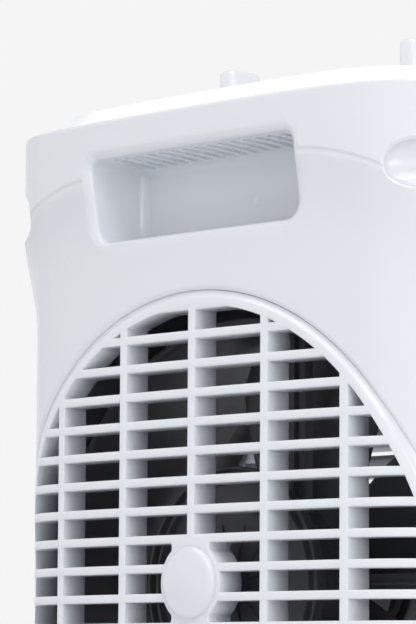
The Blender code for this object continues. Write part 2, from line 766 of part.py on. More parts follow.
def build_motor_internals():
    middle = (MOTOR_FRONT + MOTOR_BACK) / 2
    core = 0.013
    outer = MOTOR_RADIUS - 0.0025 - GAP
    coil = 0.019
    stator = turned(
        [(0.0225, -core), (0.0225, core), (0.025, core), (0.026, coil), (0.035, coil), (0.036, core)]
        + [(outer, core), (outer, -core), (0.036, -core), (0.035, -coil), (0.026, -coil)]
        + [(0.025, -core), (0.0225, -core)]
    )
    finish(along_y(stator, middle), "stator", LAMINATION)
    rotor = turned(
        [(SHAFT_RADIUS + GAP, core), (0.0215, core), (0.0215, -core), (SHAFT_RADIUS + GAP, -core)]
        + [(SHAFT_RADIUS + GAP, core)]
    )
    finish(along_y(rotor, middle), "rotor", LAMINATION, (0, middle, HUB_Z))
    seat = 0.0025 + GAP
    for name, low in (("bearing_front", MOTOR_FRONT + seat), ("bearing_rear", MOTOR_BACK - seat - 0.0064)):
        ring = turned(
            [(SHAFT_RADIUS + GAP, 0.0064), (0.0082, 0.0064), (0.0082, 0)]
            + [(SHAFT_RADIUS + GAP, 0), (SHAFT_RADIUS + GAP, 0.0064)],
            steps=20,
        )
        finish(along_y(ring, low), name, BRASS)
    shaft = rod(SHAFT_RADIUS, (0, -0.0500, HUB_Z), (0, MOTOR_BACK - 0.0030, HUB_Z), sides=20)
    finish(shaft, "motor_shaft", STEEL, (0, 0, HUB_Z))


BLADES = 5


def blade_surface(turn):
    """One impeller blade as an open grid: it twists and widens from root to tip."""
    along = 5
    across = 5
    root = BLADE_HUB_RADIUS - 0.003
    middle = (BLADE_FRONT + BLADE_BACK) / 2
    grid = []
    bm = bmesh.new()
    for i in range(along):
        part = i / (along - 1)
        radius = root + (BLADE_RADIUS - 0.001 - root) * part
        pitch = radians(36 - 16 * part)
        half = 0.017 + 0.034 * part**0.8
        row = []
        for j in range(across):
            v = 2 * j / (across - 1) - 1
            camber = 0.004 * (1 - v * v)
            angle = turn + v * half * cos(pitch) / radius + 0.25 * part
            y = middle - v * half * sin(pitch) * 0.98 + camber
            row.append(bm.verts.new((radius * cos(angle), y, radius * sin(angle))))
        grid.append(row)
    for i in range(along - 1):
        for j in range(across - 1):
            bm.faces.new((grid[i][j], grid[i][j + 1], grid[i + 1][j + 1], grid[i + 1][j]))
    return bm


def build_fan_blade():
    hub_front = BLADE_FRONT + 0.001
    wall = 0.0025
    length = BLADE_BACK - hub_front - 0.001
    hub = turned(
        [(SHAFT_RADIUS + GAP, length - 0.004), (0.009, length - 0.004), (0.009, wall)]
        + [(BLADE_HUB_RADIUS - wall, wall), (BLADE_HUB_RADIUS - wall, length), (BLADE_HUB_RADIUS, length)]
        + [(BLADE_HUB_RADIUS, 0.003), (BLADE_HUB_RADIUS - 0.003, 0), (SHAFT_RADIUS + GAP, 0)]
        + [(SHAFT_RADIUS + GAP, length - 0.004)]
    )
    hub = along_y(hub, hub_front)
    blades = []
    for i in range(BLADES):
        sheet = mesh_object("blade", blade_surface(i * 2 * pi / BLADES))
        sheet.location.z = HUB_Z
        shell = sheet.modifiers.new("Thickness", "SOLIDIFY")
        shell.thickness = 0.0022
        shell.offset = 0
        blades.append(solidified(sheet))
    keep_out = rod(BLADE_HUB_RADIUS - wall / 2, (0, -0.1, HUB_Z), (0, 0.05, HUB_Z), sides=40)
    for blade in blades:
        cut(blade, twin_of(keep_out))
    bpy.data.objects.remove(keep_out, do_unlink=True)
    return finish(union(hub, *blades), "fan_blade", BLADE, (0, 0, HUB_Z))


def twin_of(obj):
    """A second object with the same mesh, for one more Boolean."""
    twin = bpy.data.objects.new("rod", obj.data)
    cutters.objects.link(twin)
    return twin


def build_blade_nut():
    front = BLADE_FRONT + 0.001 - GAP
    nut = turned(
        [(0, 0.0085), (0.005, 0.0085), (0.0085, 0.0065), (0.0105, 0.002), (0.0105, 0), (0, 0)], steps=24
    )
    nut = along_y(nut, front, facing=-1)
    bore = rod(SHAFT_RADIUS + GAP, (0, -0.0500 - GAP, HUB_Z), (0, -0.02, HUB_Z), sides=20)
    return finish(cut(nut, bore), "blade_nut", BLADE, (0, 0, HUB_Z))


def screw(name, material, head_radius, head_height, shank_radius, length, place, facing=1):
    """A pan-head screw with its head's underside at place and its head facing +Y, or -Y."""
    body = turned(
        [(0, head_height), (head_radius * 0.8, head_height), (head_radius, head_height * 0.6)]
        + [(head_radius, 0), (shank_radius, 0), (shank_radius, -length), (0, -length)],
        steps=10,
    )
    slot = head_radius * 0.6
    groove = 0.0004
    body = cut(body, box((-slot, -groove, head_height - 0.0008), (slot, groove, head_height + 0.01)))
    return finish(along_y(body, place[1], place[0], place[2], facing), name, material)


def build_screws():
    for i, (x, z) in enumerate(SHELL_SCREWS, 1):
        screw(f"case_screw_{i}", STEEL, 0.0044, 0.0025, SCREW_RADIUS, 0.0315, (x, 0.012, z))
    for i, (x, z) in enumerate(motor_screw_places(), 1):
        place = (x, SPIDER_FRONT - GAP, z)
        screw(f"motor_screw_{i}", STEEL, 0.0035, 0.0018, 0.0016, 0.0092, place, facing=-1)
    for i, side in enumerate((-1, 1), 1):
        place = (side * LUG_X, BRACKET_FRONT - GAP, HUB_Z)
        screw(f"bracket_screw_{i}", STEEL, 0.0027, 0.0015, 0.0012, 0.0185, place, facing=-1)


SEAT_RADIUS = 0.0195
SEAT_TOP = LID_TOP - 0.0006
SEAT_BOTTOM = LID_TOP - 0.0095


def build_top_lid():
    """A shallow cap: a sloped edge all round and a low crown, with a boss for each knob's shaft."""
    inner = lid_plan(LID_EDGE)
    rings = [(lid_plan(), LID_BOTTOM), (inner, LID_BOTTOM + LID_EDGE)]
    for part in (0.8, 0.45):
        height = LID_BOTTOM + LID_EDGE + LID_CROWN * (1 - part**2) ** 0.8
        rings.append(([(x * part, y * part) for x, y in inner], height))
    bm = bmesh.new()
    loops = [[bm.verts.new((x, y, z)) for x, y in ring] for ring, z in rings]
    count = len(loops[0])
    for lower, upper in zip(loops, loops[1:]):
        for i in range(count):
            bm.faces.new((lower[i], lower[(i + 1) % count], upper[(i + 1) % count], upper[i]))
    top = bm.verts.new((0, 0, LID_TOP))
    for i in range(count):
        bm.faces.new((loops[-1][i], loops[-1][(i + 1) % count], top))
    sheet = mesh_object("lid", bm)
    shell = sheet.modifiers.new("Thickness", "SOLIDIFY")
    shell.thickness = 0.0025
    shell.offset = -1
    lid = cut(solidified(sheet), box((-0.3, -0.3, LID_BOTTOM - 0.05), (0.3, 0.3, LID_BOTTOM)))
    bosses = []
    bores = []
    for side in (-1, 1):
        x = side * KNOB_X
        bosses.append(rod(SEAT_RADIUS, (x, KNOB_Y, SEAT_BOTTOM), (x, KNOB_Y, SEAT_TOP), sides=32))
        bores.append(rod(0.0038, (x, KNOB_Y, SEAT_BOTTOM - 0.02), (x, KNOB_Y, SEAT_TOP + 0.02), sides=20))
    return finish(cut(union(lid, *bosses), *bores), "top_lid", BRIGHT)


def build_controls():
    """A knob, its shaft and the unit that the shaft turns: speed on one side, time on the other."""
    controls = (("speed", "speed_switch", 1, 0.022), ("timer", "timer_unit", -1, 0.030))
    for name, unit, side, depth in controls:
        x = side * KNOB_X
        base = SEAT_TOP + GAP
        height = KNOB_TOP - base
        disc = KNOB_DISC
        knob = turned(
            [(0, disc), (KNOB_RADIUS - 0.0018, disc), (KNOB_RADIUS, disc - 0.0018)]
            + [(KNOB_RADIUS, 0), (0, 0)]
        )
        low = (-KNOB_GRIP / 2, -KNOB_RADIUS + 0.0008, disc - 0.003)
        grip = box(low, (KNOB_GRIP / 2, KNOB_RADIUS - 0.0008, height), 0.0035, segments=2)
        knob = placed(union(knob, grip), Matrix.Translation((x, KNOB_Y, base)))
        shaft_top = base + height * 0.62
        bore = rod(0.003 + GAP, (x, KNOB_Y, base - 0.01), (x, KNOB_Y, shaft_top + GAP), sides=20)
        finish(cut(knob, bore), f"{name}_knob", BRIGHT, (x, KNOB_Y, base))
        unit_top = SEAT_BOTTOM - GAP
        shaft_bottom = unit_top - 0.010
        shaft = rod(0.003, (x, KNOB_Y, shaft_bottom), (x, KNOB_Y, shaft_top), sides=20)
        finish(shaft, f"{name}_shaft", STEEL, (x, KNOB_Y, shaft_bottom))
        body = box(
            (x - 0.017, KNOB_Y - 0.017, unit_top - depth), (x + 0.017, KNOB_Y + 0.017, unit_top), 0.0015
        )
        tabs = [
            (
                (x + i * 0.009 - 0.0024, KNOB_Y - 0.0006, unit_top - depth - 0.007),
                (x + i * 0.009 + 0.0024, KNOB_Y + 0.0006, unit_top - depth + 0.002),
            )
            for i in (-1, 0, 1)
        ]
        socket = rod(0.003 + GAP, (x, KNOB_Y, shaft_bottom - GAP), (x, KNOB_Y, unit_top + 0.01), sides=20)
        finish(cut(union(body, joined_boxes(tabs)), socket), unit, SWITCH)


FOOT_X = 0.132
FOOT_Y = 0.064


def build_feet():
    for name, sx, sy in (
        ("foot_front_left", -1, -1),
        ("foot_front_right", 1, -1),
        ("foot_back_left", -1, 1),
        ("foot_back_right", 1, 1),
    ):
        height = CASE_BOTTOM - GAP
        foot = turned(
            [(0, height), (0.0135, height), (0.0135, height - 0.002), (0.0115, 0.001), (0.0105, 0), (0, 0)],
            steps=20,
        )
        finish(placed(foot, Matrix.Translation((sx * FOOT_X, sy * FOOT_Y, 0))), name, RUBBER)


def build_electrics():
    top = CASE_TOP - WALL - GAP
    capacitor = box((-0.022, -0.060, top - 0.030), (0.022, -0.042, top), 0.002)
    finish(capacitor, "run_capacitor", SWITCH)
    floor = CASE_BOTTOM + WALL + GAP
    block = box((INLET_X - 0.018, 0.015, floor), (INLET_X + 0.014, 0.040, floor + 0.016), 0.0015)
    finish(block, "terminal_box", SWITCH)
    bush = turned(
        [(0.0035, 0.0125), (0.0060, 0.0125), (0.0072, 0.0110), (0.0072, 0), (0.0035, 0), (0.0035, 0.0125)],
        steps=24,
    )
    finish(along_y(bush, inlet_y() - 0.0100, INLET_X, INLET_Z), "cord_inlet", RUBBER)


build_rear_shell()
build_front_shell()
build_top_lid()
build_rear_grille()
build_rear_hub_cap()
build_shroud()
build_motor_bracket()
build_outlet_bracket()
build_louvre_gearmotor()
build_front_louvre()
build_louvre_cap()
build_louvre_axle()
build_motor_housings()
build_motor_internals()
build_fan_blade()
build_blade_nut()
build_controls()
build_feet()
build_electrics()
build_screws()
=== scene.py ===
"""Box fan, seen from behind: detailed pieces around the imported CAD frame."""

import json
from math import cos, hypot, pi, radians, sin, sqrt

import bmesh
import bpy
import numpy as np
from mathutils import Matrix, Vector
from mathutils.geometry import delaunay_2d_cdt


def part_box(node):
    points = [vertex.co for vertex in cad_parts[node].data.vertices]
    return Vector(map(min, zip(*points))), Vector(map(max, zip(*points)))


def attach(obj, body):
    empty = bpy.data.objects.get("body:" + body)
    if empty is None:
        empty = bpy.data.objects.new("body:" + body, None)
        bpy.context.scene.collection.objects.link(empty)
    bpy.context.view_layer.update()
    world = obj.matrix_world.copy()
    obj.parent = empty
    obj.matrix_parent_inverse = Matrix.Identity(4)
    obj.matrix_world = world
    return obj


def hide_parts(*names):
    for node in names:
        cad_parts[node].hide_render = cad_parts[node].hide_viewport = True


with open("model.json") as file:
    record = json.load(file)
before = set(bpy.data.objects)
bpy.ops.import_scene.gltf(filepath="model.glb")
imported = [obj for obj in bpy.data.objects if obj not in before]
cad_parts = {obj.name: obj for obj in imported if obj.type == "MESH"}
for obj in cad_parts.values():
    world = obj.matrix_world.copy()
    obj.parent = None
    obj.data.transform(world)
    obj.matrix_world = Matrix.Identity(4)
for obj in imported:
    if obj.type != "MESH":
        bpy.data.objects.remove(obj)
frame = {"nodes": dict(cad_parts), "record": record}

scene = bpy.context.scene
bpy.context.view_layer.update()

# Places that come from the frame.
shell_low, shell_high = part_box("rear_shell")
front_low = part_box("front_shell")[0]
grille_low, grille_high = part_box("rear_grille")
lid_low, lid_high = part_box("top_lid")
louvre_low, louvre_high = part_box("front_louvre")
cap_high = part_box("rear_hub_cap")[1]
PITCH = 0.016
HUB_Z = (grille_low.z + grille_high.z) / 2
HALF_WIDTH = shell_high.x
REAR = shell_high.y
FRONT = front_low.y
BOTTOM = shell_low.z
TOP = shell_high.z
WALL = 0.003
FIT_GAP = 0.0003

# Rear face.
CORNER = 0.056
CROWN_2 = 0.00259 / PITCH
CROWN_4 = 0.000067 / PITCH**3
COVER_STEP = 0.0076
CORNER_STEP = -0.0004
CREASE_STEP = 0.0009
COVER_SWEEP = 0.062
OPENING = 0.1603
GRILLE_EDGE = 0.16025
GRILLE_CREST = 0.1560
GRILLE_BORE = 0.1520
GRILLE_DEPTH = 0.0177
GRILLE_PROUD = 0.0006
SLAT = 0.0047
RIB = 0.0051
RIB_SPACING = 3.41 * PITCH
BOSS = 0.0227
NECK = 0.0142

# Carrying recess and finger scoops.
RECESS_LOW = HUB_Z + 12.1 * PITCH
RECESS_HIGH = HUB_Z + 15.05 * PITCH
RECESS_BACK = REAR - 0.045
SCOOP_Z = HUB_Z + 13.55 * PITCH
SCOOP_HALF_LENGTH = 0.0190
SCOOP_HALF_HEIGHT = 0.0124


# ---------------------------------------------------------------- materials


def plastic(
    name,
    colour,
    roughness,
    variation=0.025,
    grain=0.04,
    grain_scale=900.0,
    coat=0.0,
    metallic=0.0,
    soft=0.0,
):
    """Moulded plastic or metal: faint cloudy colour, uneven gloss and a fine grained surface."""
    material = bpy.data.materials.new(name)
    material.use_nodes = True
    nodes = material.node_tree.nodes
    link = material.node_tree.links.new
    shader = nodes["Principled BSDF"]
    where = nodes.new("ShaderNodeTexCoord")

    def noise(scale, detail):
        node = nodes.new("ShaderNodeTexNoise")
        node.inputs["Scale"].default_value = scale
        node.inputs["Detail"].default_value = detail
        link(where.outputs["Object"], node.inputs["Vector"])
        return node.outputs["Fac"]

    tint = nodes.new("ShaderNodeMix")
    tint.data_type = "RGBA"
    for socket, sign in (("A", -1), ("B", 1)):
        tint.inputs[socket].default_value = (*(min(1.0, c * (1 + sign * variation)) for c in colour), 1)
    link(noise(14.0, 3.0), tint.inputs["Factor"])
    link(tint.outputs["Result"], shader.inputs["Base Color"])
    gloss = nodes.new("ShaderNodeMapRange")
    gloss.inputs["To Min"].default_value = roughness - variation
    gloss.inputs["To Max"].default_value = roughness + variation
    link(noise(45.0, 4.0), gloss.inputs["Value"])
    link(gloss.outputs["Result"], shader.inputs["Roughness"])
    bump = nodes.new("ShaderNodeBump")
    bump.inputs["Strength"].default_value = grain
    bump.inputs["Distance"].default_value = 0.0002
    link(noise(grain_scale, 2.0), bump.inputs["Height"])
    link(bump.outputs["Normal"], shader.inputs["Normal"])
    settings = {
        "Metallic": metallic,
        "Subsurface Weight": soft,
        "Subsurface Radius": (1.0, 1.0, 1.0),
        "Subsurface Scale": 0.006,
        "Coat Weight": coat,
        "Coat Roughness": 0.10,
    }
    for socket, value in settings.items():
        shader.inputs[socket].default_value = value
    return material


WHITE = plastic("casing_white", (0.745, 0.772, 0.815), 0.27, variation=0.008, grain=0.02, coat=0.3)
# The grille's white is the casing white made a little lighter: painted light, standing in for the light on
# the shaded cell walls and slat undersides.
GRILLE_WHITE_PAINTED_LIGHT = plastic(
    "grille_white_painted_light", (0.770, 0.797, 0.840), 0.27, variation=0.008, grain=0.02, coat=0.3, soft=0.35
)
LID_WHITE = plastic("lid_white", (0.95, 0.955, 0.965), 0.30, variation=0.012, coat=0.2)
DARK = plastic("inner_grey", (0.130, 0.131, 0.143), 0.50, variation=0.10)
MOTOR = plastic("motor_grey", (0.120, 0.122, 0.132), 0.42, variation=0.12)
BLADE = plastic("impeller_grey", (0.095, 0.097, 0.107), 0.34, variation=0.08)
STEEL = plastic("steel", (0.58, 0.58, 0.60), 0.34, variation=0.08, grain_scale=1600.0, metallic=1.0)
CORE = plastic("laminated_steel", (0.30, 0.30, 0.32), 0.50, variation=0.12, metallic=1.0)
BRASS = plastic("bearing_bronze", (0.66, 0.50, 0.26), 0.40, variation=0.10, metallic=1.0)
RUBBER = plastic("black_rubber", (0.028, 0.028, 0.030), 0.80, variation=0.15, grain=0.15, grain_scale=600.0)
SWITCH = plastic("switch_black", (0.055, 0.055, 0.06), 0.48, variation=0.12)
SLOT_LOOKS = {
    "casing": WHITE,
    "lid": LID_WHITE,
    "inner_plastic": DARK,
    "motor_case": MOTOR,
    "impeller": BLADE,
    "steel": STEEL,
    "core": CORE,
    "bearing": BRASS,
    "electrics": SWITCH,
    "rubber": RUBBER,
    "screw": STEEL,
}
SLOTS = {part["node"]: part["material_slot"] for part in frame["record"]["subparts"]}
BODIES = {node: body for body, nodes in frame["record"]["behaviour"]["bodies"].items() for node in nodes}
for node, obj in frame["nodes"].items():
    obj.data.materials.clear()
    obj.data.materials.append(SLOT_LOOKS[SLOTS[node]])


# ---------------------------------------------------------------- mesh helpers


def placed(name, mesh):
    """An object in the scene for a mesh."""
    obj = bpy.data.objects.new(name, mesh)
    scene.collection.objects.link(obj)
    return obj


def from_bmesh(name, bm):
    """An object in the scene for a finished bmesh."""
    mesh = bpy.data.meshes.new(name)
    bm.to_mesh(mesh)
    bm.free()
    return placed(name, mesh)


def mesh_piece(name, points, faces):
    """An object made of points and faces, with its normals turned outward."""
    mesh = bpy.data.meshes.new(name)
    mesh.from_pydata([tuple(map(float, p)) for p in points], [], [tuple(map(int, f)) for f in faces])
    return cleaned(placed(name, mesh))


def cleaned(obj, merge=0.000002):
    """Welds doubled points, drops faces without area and turns the normals outward."""
    bm = bmesh.new()
    bm.from_mesh(obj.data)
    bmesh.ops.remove_doubles(bm, verts=bm.verts, dist=merge)
    bmesh.ops.dissolve_degenerate(bm, edges=bm.edges, dist=merge)
    bmesh.ops.recalc_face_normals(bm, faces=bm.faces)
    bm.to_mesh(obj.data)
    bm.free()
    return obj


def band(first, second, flip=False):
    """Faces between two closed rows of point numbers."""
    count = len(first)
    pairs = [((j + 1) % count, j) if flip else (j, (j + 1) % count) for j in range(count)]
    return [(first[a], first[b], second[b], second[a]) for a, b in pairs]


def skin(rings):
    """Points and faces of a tube through closed rings that have equally many points."""
    count = len(rings[0])
    numbers = [range(i * count, (i + 1) * count) for i in range(len(rings))]
    faces = [face for first, second in zip(numbers, numbers[1:]) for face in band(first, second)]
    return [p for ring in rings for p in ring], faces


def loft(name, rings):
    """A closed solid through rings of points, capped at both ends."""
    points, faces = skin(rings)
    count = len(rings[0])
    faces.append(tuple(range(count)))
    faces.append(tuple(reversed(range(len(points) - count, len(points)))))
    return mesh_piece(name, points, faces)


def lathe(name, profile, steps=96, y=0.0, facing=1, x=0.0, z=None, upright=False):
    """A solid turned from (radius, height) points; its axis runs along Y through the hub, or upright."""
    on_axis = profile[0][0] == 0 and profile[-1][0] == 0
    rings = []
    for i in range(steps):
        angle = 2 * pi * i / steps
        rings.append([(r * cos(angle), r * sin(angle), h) for r, h in profile])
    count = len(profile)
    numbers = [range(i * count, (i + 1) * count) for i in range(steps)]
    faces = []
    for first, second in sides(numbers):
        faces += band(first, second)[: count - on_axis]
    obj = mesh_piece(name, [p for ring in rings for p in ring], faces)
    if not upright:
        obj.data.transform(Matrix.Rotation(radians(-90 * facing), 4, "X"))
    obj.data.transform(Matrix.Translation((x, y, HUB_Z if z is None else z)))
    return cleaned(obj)


def quarter(steps, first=0.0):
    """Evenly spaced angles from a first one to a quarter turn, both included."""
    return [first + (pi / 2 - first) * i / steps for i in range(steps + 1)]


def sides(polygon):
    """Pairs of neighbouring points all the way round."""
    return zip(polygon, polygon[1:] + polygon[:1])


def rod(radius, low, high):
    """The profile of a plain cylinder."""
    return [(0, low), (radius, low), (radius, high), (0, high)]


def dome(rise, flat, fall, width, drop):
    """The profile of a cap: nearly flat out to a radius, then rounded down over its edge's width."""
    profile = [(0, rise)]
    for i in range(1, 9):
        profile.append((flat * i / 8, rise - fall * (i / 8) ** 2))
    for turn in quarter(7)[1:]:
        profile.append((flat + width * sin(turn), rise - fall - drop * (1 - cos(turn))))
    return profile


def ring_piece(name, outer, inner, low, high, radius, steps=144):
    """A ring round the hub axis with rounded edges, from one y to another."""
    middle = (outer + inner) / 2
    half = [(middle, 0), (outer, 0), (outer, high - low), (inner, high - low), (inner, 0), (middle, 0)]
    return lathe(name, rounded(half, radius)[:-1], steps, y=low)


def rounded(points, radius, steps=4):
    """A profile with its inner corners rounded, where there is room."""
    result = [points[0]]
    for before, here, after in zip(points, points[1:], points[2:]):
        a = Vector(before) - Vector(here)
        b = Vector(after) - Vector(here)
        reach = min(radius, a.length * 0.45, b.length * 0.45)
        if reach < 0.00005:
            result.append(here)
            continue
        start = Vector(here) + a.normalized() * reach
        end = Vector(here) + b.normalized() * reach
        for i in range(steps + 1):
            t = i / steps
            p = start * (1 - t) ** 2 + Vector(here) * 2 * t * (1 - t) + end * t**2
            result.append((p.x, p.y))
    return result + [points[-1]]


def block(name, low, high, bevel=0.001, segments=3):
    """A block with rounded edges."""
    bm = bmesh.new()
    bmesh.ops.create_cube(bm, size=1)
    bmesh.ops.scale(bm, vec=Vector(high) - Vector(low), verts=bm.verts)
    bmesh.ops.translate(bm, vec=(Vector(low) + Vector(high)) / 2, verts=bm.verts)
    if bevel:
        shape = {"offset": bevel, "segments": segments, "profile": 0.5, "clamp_overlap": True}
        bmesh.ops.bevel(bm, geom=bm.edges[:], affect="EDGES", **shape)
    return from_bmesh(name, bm)


def spokes(count, low, high, bevel, segments=2, phase=0.0):
    """Equal blocks round the hub's axis, each made on the +X side and then turned."""
    blocks = []
    for i in range(count):
        blocks.append(block("spoke", low, high, bevel, segments))
        blocks[-1].data.transform(Matrix.Rotation(2 * pi * (i + phase) / count, 4, "Y"))
        blocks[-1].data.transform(Matrix.Translation((0, 0, HUB_Z)))
    return blocks


def joined(name, objects):
    """Several objects' meshes in one object."""
    bm = bmesh.new()
    for obj in objects:
        bm.from_mesh(obj.data)
        bpy.data.objects.remove(obj, do_unlink=True)
    return from_bmesh(name, bm)


def boolean(obj, others, operation):
    """Adds other objects to a piece, or cuts them from it, and removes them."""
    for other in others:
        step = obj.modifiers.new("Boolean", "BOOLEAN")
        step.operation = operation
        step.solver = "MANIFOLD"
        step.object = other
    bpy.context.view_layer.update()
    graph = bpy.context.evaluated_depsgraph_get()
    mesh = bpy.data.meshes.new_from_object(obj.evaluated_get(graph))
    for other in others:
        bpy.data.objects.remove(other, do_unlink=True)
    obj.modifiers.clear()
    obj.data = mesh
    return obj


def show(obj, name, node, material, crisp=38):
    """Names a finished piece, gives it its finish, and lets it stand for its CAD node."""
    obj.name = name
    obj.data.name = name
    obj.data.materials.clear()
    obj.data.materials.append(material)
    for polygon in obj.data.polygons:
        polygon.material_index = 0
    obj.data.shade_smooth()
    obj.data.set_sharp_from_angle(angle=radians(crisp))
    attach(obj, BODIES[node])
    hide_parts(node)


def centre_of(node):
    """Middle of a CAD node's box."""
    return [(low + high) / 2 for low, high in zip(*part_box(node))]


def round_box(node):
    """Both corners of a CAD node's box, and half its width."""
    low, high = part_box(node)
    return low, high, (high.x - low.x) / 2


def mix(a, b, t):
    """The point at a share of the way between two points of a plane."""
    return a[0] + (b[0] - a[0]) * t, a[1] + (b[1] - a[1]) * t


def smoothstep(value, low, high):
    """A share from 0 to 1 that starts and ends softly."""
    t = np.clip((value - low) / (high - low), 0, 1)
    return t * t * (3 - 2 * t)


def crown(x):
    """How far the rear face falls back at x from the middle."""
    return CROWN_2 * x**2 + CROWN_4 * x**4


# ---------------------------------------------------------------- outline of the casing


def outline(corner, front=False):
    """Arc length, place and outward normal along half the plan, from the middle of a face to the seam."""
    corner_x = HALF_WIDTH - corner
    slope = 0.0 if front else 2 * CROWN_2 * corner_x + 4 * CROWN_4 * corner_x**3
    tilt = np.arctan(slope)
    start_x = corner_x + corner * sin(tilt)
    xs = np.linspace(0, start_x, 160)
    fall = np.zeros_like(xs) if front else crown(xs)
    slopes = np.zeros_like(xs) if front else 2 * CROWN_2 * xs + 4 * CROWN_4 * xs**3
    face = abs(FRONT) if front else REAR
    corner_y = face - fall[-1] - corner * cos(tilt)
    angles = np.linspace(tilt, pi / 2, 160)[1:]
    side_y = np.linspace(corner_y, 0, 40)[1:]
    x = np.concatenate([xs, corner_x + corner * np.sin(angles), np.full(39, HALF_WIDTH)])
    y = np.concatenate([face - fall, corner_y + corner * np.cos(angles), side_y])
    nx = np.concatenate([np.sin(np.arctan(slopes)), np.sin(angles), np.ones(39)])
    ny = np.concatenate([np.cos(np.arctan(slopes)), np.cos(angles), np.zeros(39)])
    s = np.concatenate([[0], np.cumsum(np.hypot(np.diff(x), np.diff(y)))])
    sign = -1.0 if front else 1.0
    return s, x, sign * y, nx, sign * ny


REAR_PLAN = outline(CORNER)
FRONT_PLAN = outline(0.020, front=True)
LID_PLAN = outline(0.0863)


def on_plan(plan, s, inset=0.0):
    """x, y on a plan at arc length s, moved inward by inset."""
    side = np.sign(s)
    x = np.interp(np.abs(s), plan[0], plan[1])
    y = np.interp(np.abs(s), plan[0], plan[2])
    nx = np.interp(np.abs(s), plan[0], plan[3])
    ny = np.interp(np.abs(s), plan[0], plan[4])
    return side * (x - nx * inset), y - ny * inset


# Right half of the cover's edge as (arc length, height over the hub), in slat pitches.
CREASE_HALF = [(0, 14.45), (2.4, 14.45), (4.6, 14.43), (6.24, 14.28), (7.82, 13.86), (8.9, 13.38)]
CREASE_HALF += [(10.1, 12.5), (11.0, 11.3), (11.8, 9.6), (12.45, 7.0), (12.8, 3.0), (12.9, -2.0)]
CREASE_HALF += [(12.75, -6.5), (12.1, -9.2), (10.6, -10.5), (8.0, -10.75), (4.0, -10.75), (0, -10.75)]


def crease_loop():
    """The edge of the recessed cover as a smooth closed loop of (arc length, height)."""
    points = [(s * PITCH, z * PITCH) for s, z in CREASE_HALF]
    points += [(-s, z) for s, z in reversed(points[1:-1])]
    count = len(points)
    loop = []
    for i in range(count):
        p = [np.array(points[(i + k - 1) % count]) for k in range(4)]
        slope = p[2] - p[0]
        bend = 2 * p[0] - 5 * p[1] + 4 * p[2] - p[3]
        twist = 3 * p[1] - p[0] - 3 * p[2] + p[3]
        for t in [step / 12 for step in range(12)]:
            loop.append(0.5 * (2 * p[1] + slope * t + bend * t**2 + twist * t**3))
    return np.array(loop)


CREASE = crease_loop()


def crease_distance(s, z):
    """Distance inside the crease loop (negative outside), z from the hub."""
    p = np.stack([s, z], -1).reshape(-1, 1, 2)
    a = CREASE[None]
    b = np.roll(CREASE, -1, 0)[None]
    along = b - a
    t = np.clip(((p - a) * along).sum(-1) / (along**2).sum(-1), 0, 1)
    gap = np.sqrt((((a + along * t[..., None]) - p) ** 2).sum(-1))
    nearest = gap.min(1)
    radius = np.hypot(p[:, 0, 0], p[:, 0, 1])
    edge = reach_to(CREASE, np.arctan2(p[:, 0, 1], p[:, 0, 0]))
    return (np.where(radius < edge, nearest, -nearest)).reshape(np.shape(s))


def reach_to(loop, angle):
    """Distance from the hub to a loop, at an angle."""
    around = np.arctan2(loop[:, 1], loop[:, 0])
    order = np.argsort(around)
    around = around[order]
    reach = np.hypot(loop[:, 0], loop[:, 1])[order]
    around = np.concatenate([[around[-1] - 2 * pi], around, [around[0] + 2 * pi]])
    reach = np.concatenate([[reach[-1]], reach, [reach[0]]])
    return np.interp(angle, around, reach)


def far_inset(s):
    """How far the cover lies inside the casing's outline, well below the crease."""
    return COVER_STEP - CORNER_STEP * smoothstep(np.abs(s), 0.095, 0.150)


# Height of the crease's upper part at each arc length from the middle outward.
CREST_S, CREST_Z = zip(*[(s * PITCH, z * PITCH) for s, z in CREASE_HALF[:1] + CREASE_HALF[2:10]])


def swept_inset(s, z):
    """Inset of the surface that falls back below the crease, steeply at first, then less."""
    under = np.clip((np.interp(np.abs(s), CREST_S, CREST_Z) - z) / COVER_SWEEP, 0, 1)
    return far_inset(s) * (1 - (1 - under) ** 2.2)


def cover_inset(s, z):
    """Inset of the surface: none outside the crease, and inside it a fine step and then the sweep."""
    step = smoothstep(crease_distance(s, z), -0.0006, 0.0012)
    return step * np.maximum(swept_inset(s, z), CREASE_STEP)


# The cover's surface from the middle out to its widest place.
COVER_S = np.linspace(0, REAR_PLAN[0][-1], 1500)
COVER_X, COVER_Y = on_plan(REAR_PLAN, COVER_S, far_inset(COVER_S))
WIDEST = int(np.argmax(COVER_X)) + 1
COVER_S, COVER_X, COVER_Y = COVER_S[:WIDEST], COVER_X[:WIDEST], COVER_Y[:WIDEST]


def cover_y(x):
    """Height of the recessed cover's surface at x."""
    return np.interp(np.abs(x), COVER_X, COVER_Y)


def cover_s(x):
    """Arc length of the recessed cover's surface at x."""
    return np.sign(x) * np.interp(np.abs(x), COVER_X, COVER_S)


# ---------------------------------------------------------------- casing halves

# Steps along the top or bottom edge of a casing half and up its side, and how wide the stretches
# are, beside those edges and beside the opening, where the rows of points close up.
ACROSS = 116
UP = 84
EDGE_SPAN = 0.012
OPEN_SPAN = 0.0035


def ray_angles(half_length, low, high):
    """Directions from the hub through evenly spaced points of a rectangle's edge."""
    corners = [(half_length, low), (half_length, high), (-half_length, high), (-half_length, low)]
    angles = []
    for i, count in enumerate((UP, ACROSS, UP, ACROSS)):
        a = np.array(corners[i])
        b = np.array(corners[(i + 1) % 4])
        for k in range(count):
            p = a + (b - a) * k / count
            angles.append(np.arctan2(p[1], p[0]))
    return np.array(angles)


def to_rectangle(angle, half_length, low, high):
    """Distance from the hub to a rectangle's edge, at an angle."""
    c = np.cos(angle)
    s = np.sin(angle)
    with np.errstate(divide="ignore"):
        across = half_length / np.maximum(np.abs(c), 1e-9)
        up = np.where(s > 0, high / np.maximum(s, 1e-9), low / np.minimum(s, -1e-9))
    return np.minimum(across, up)


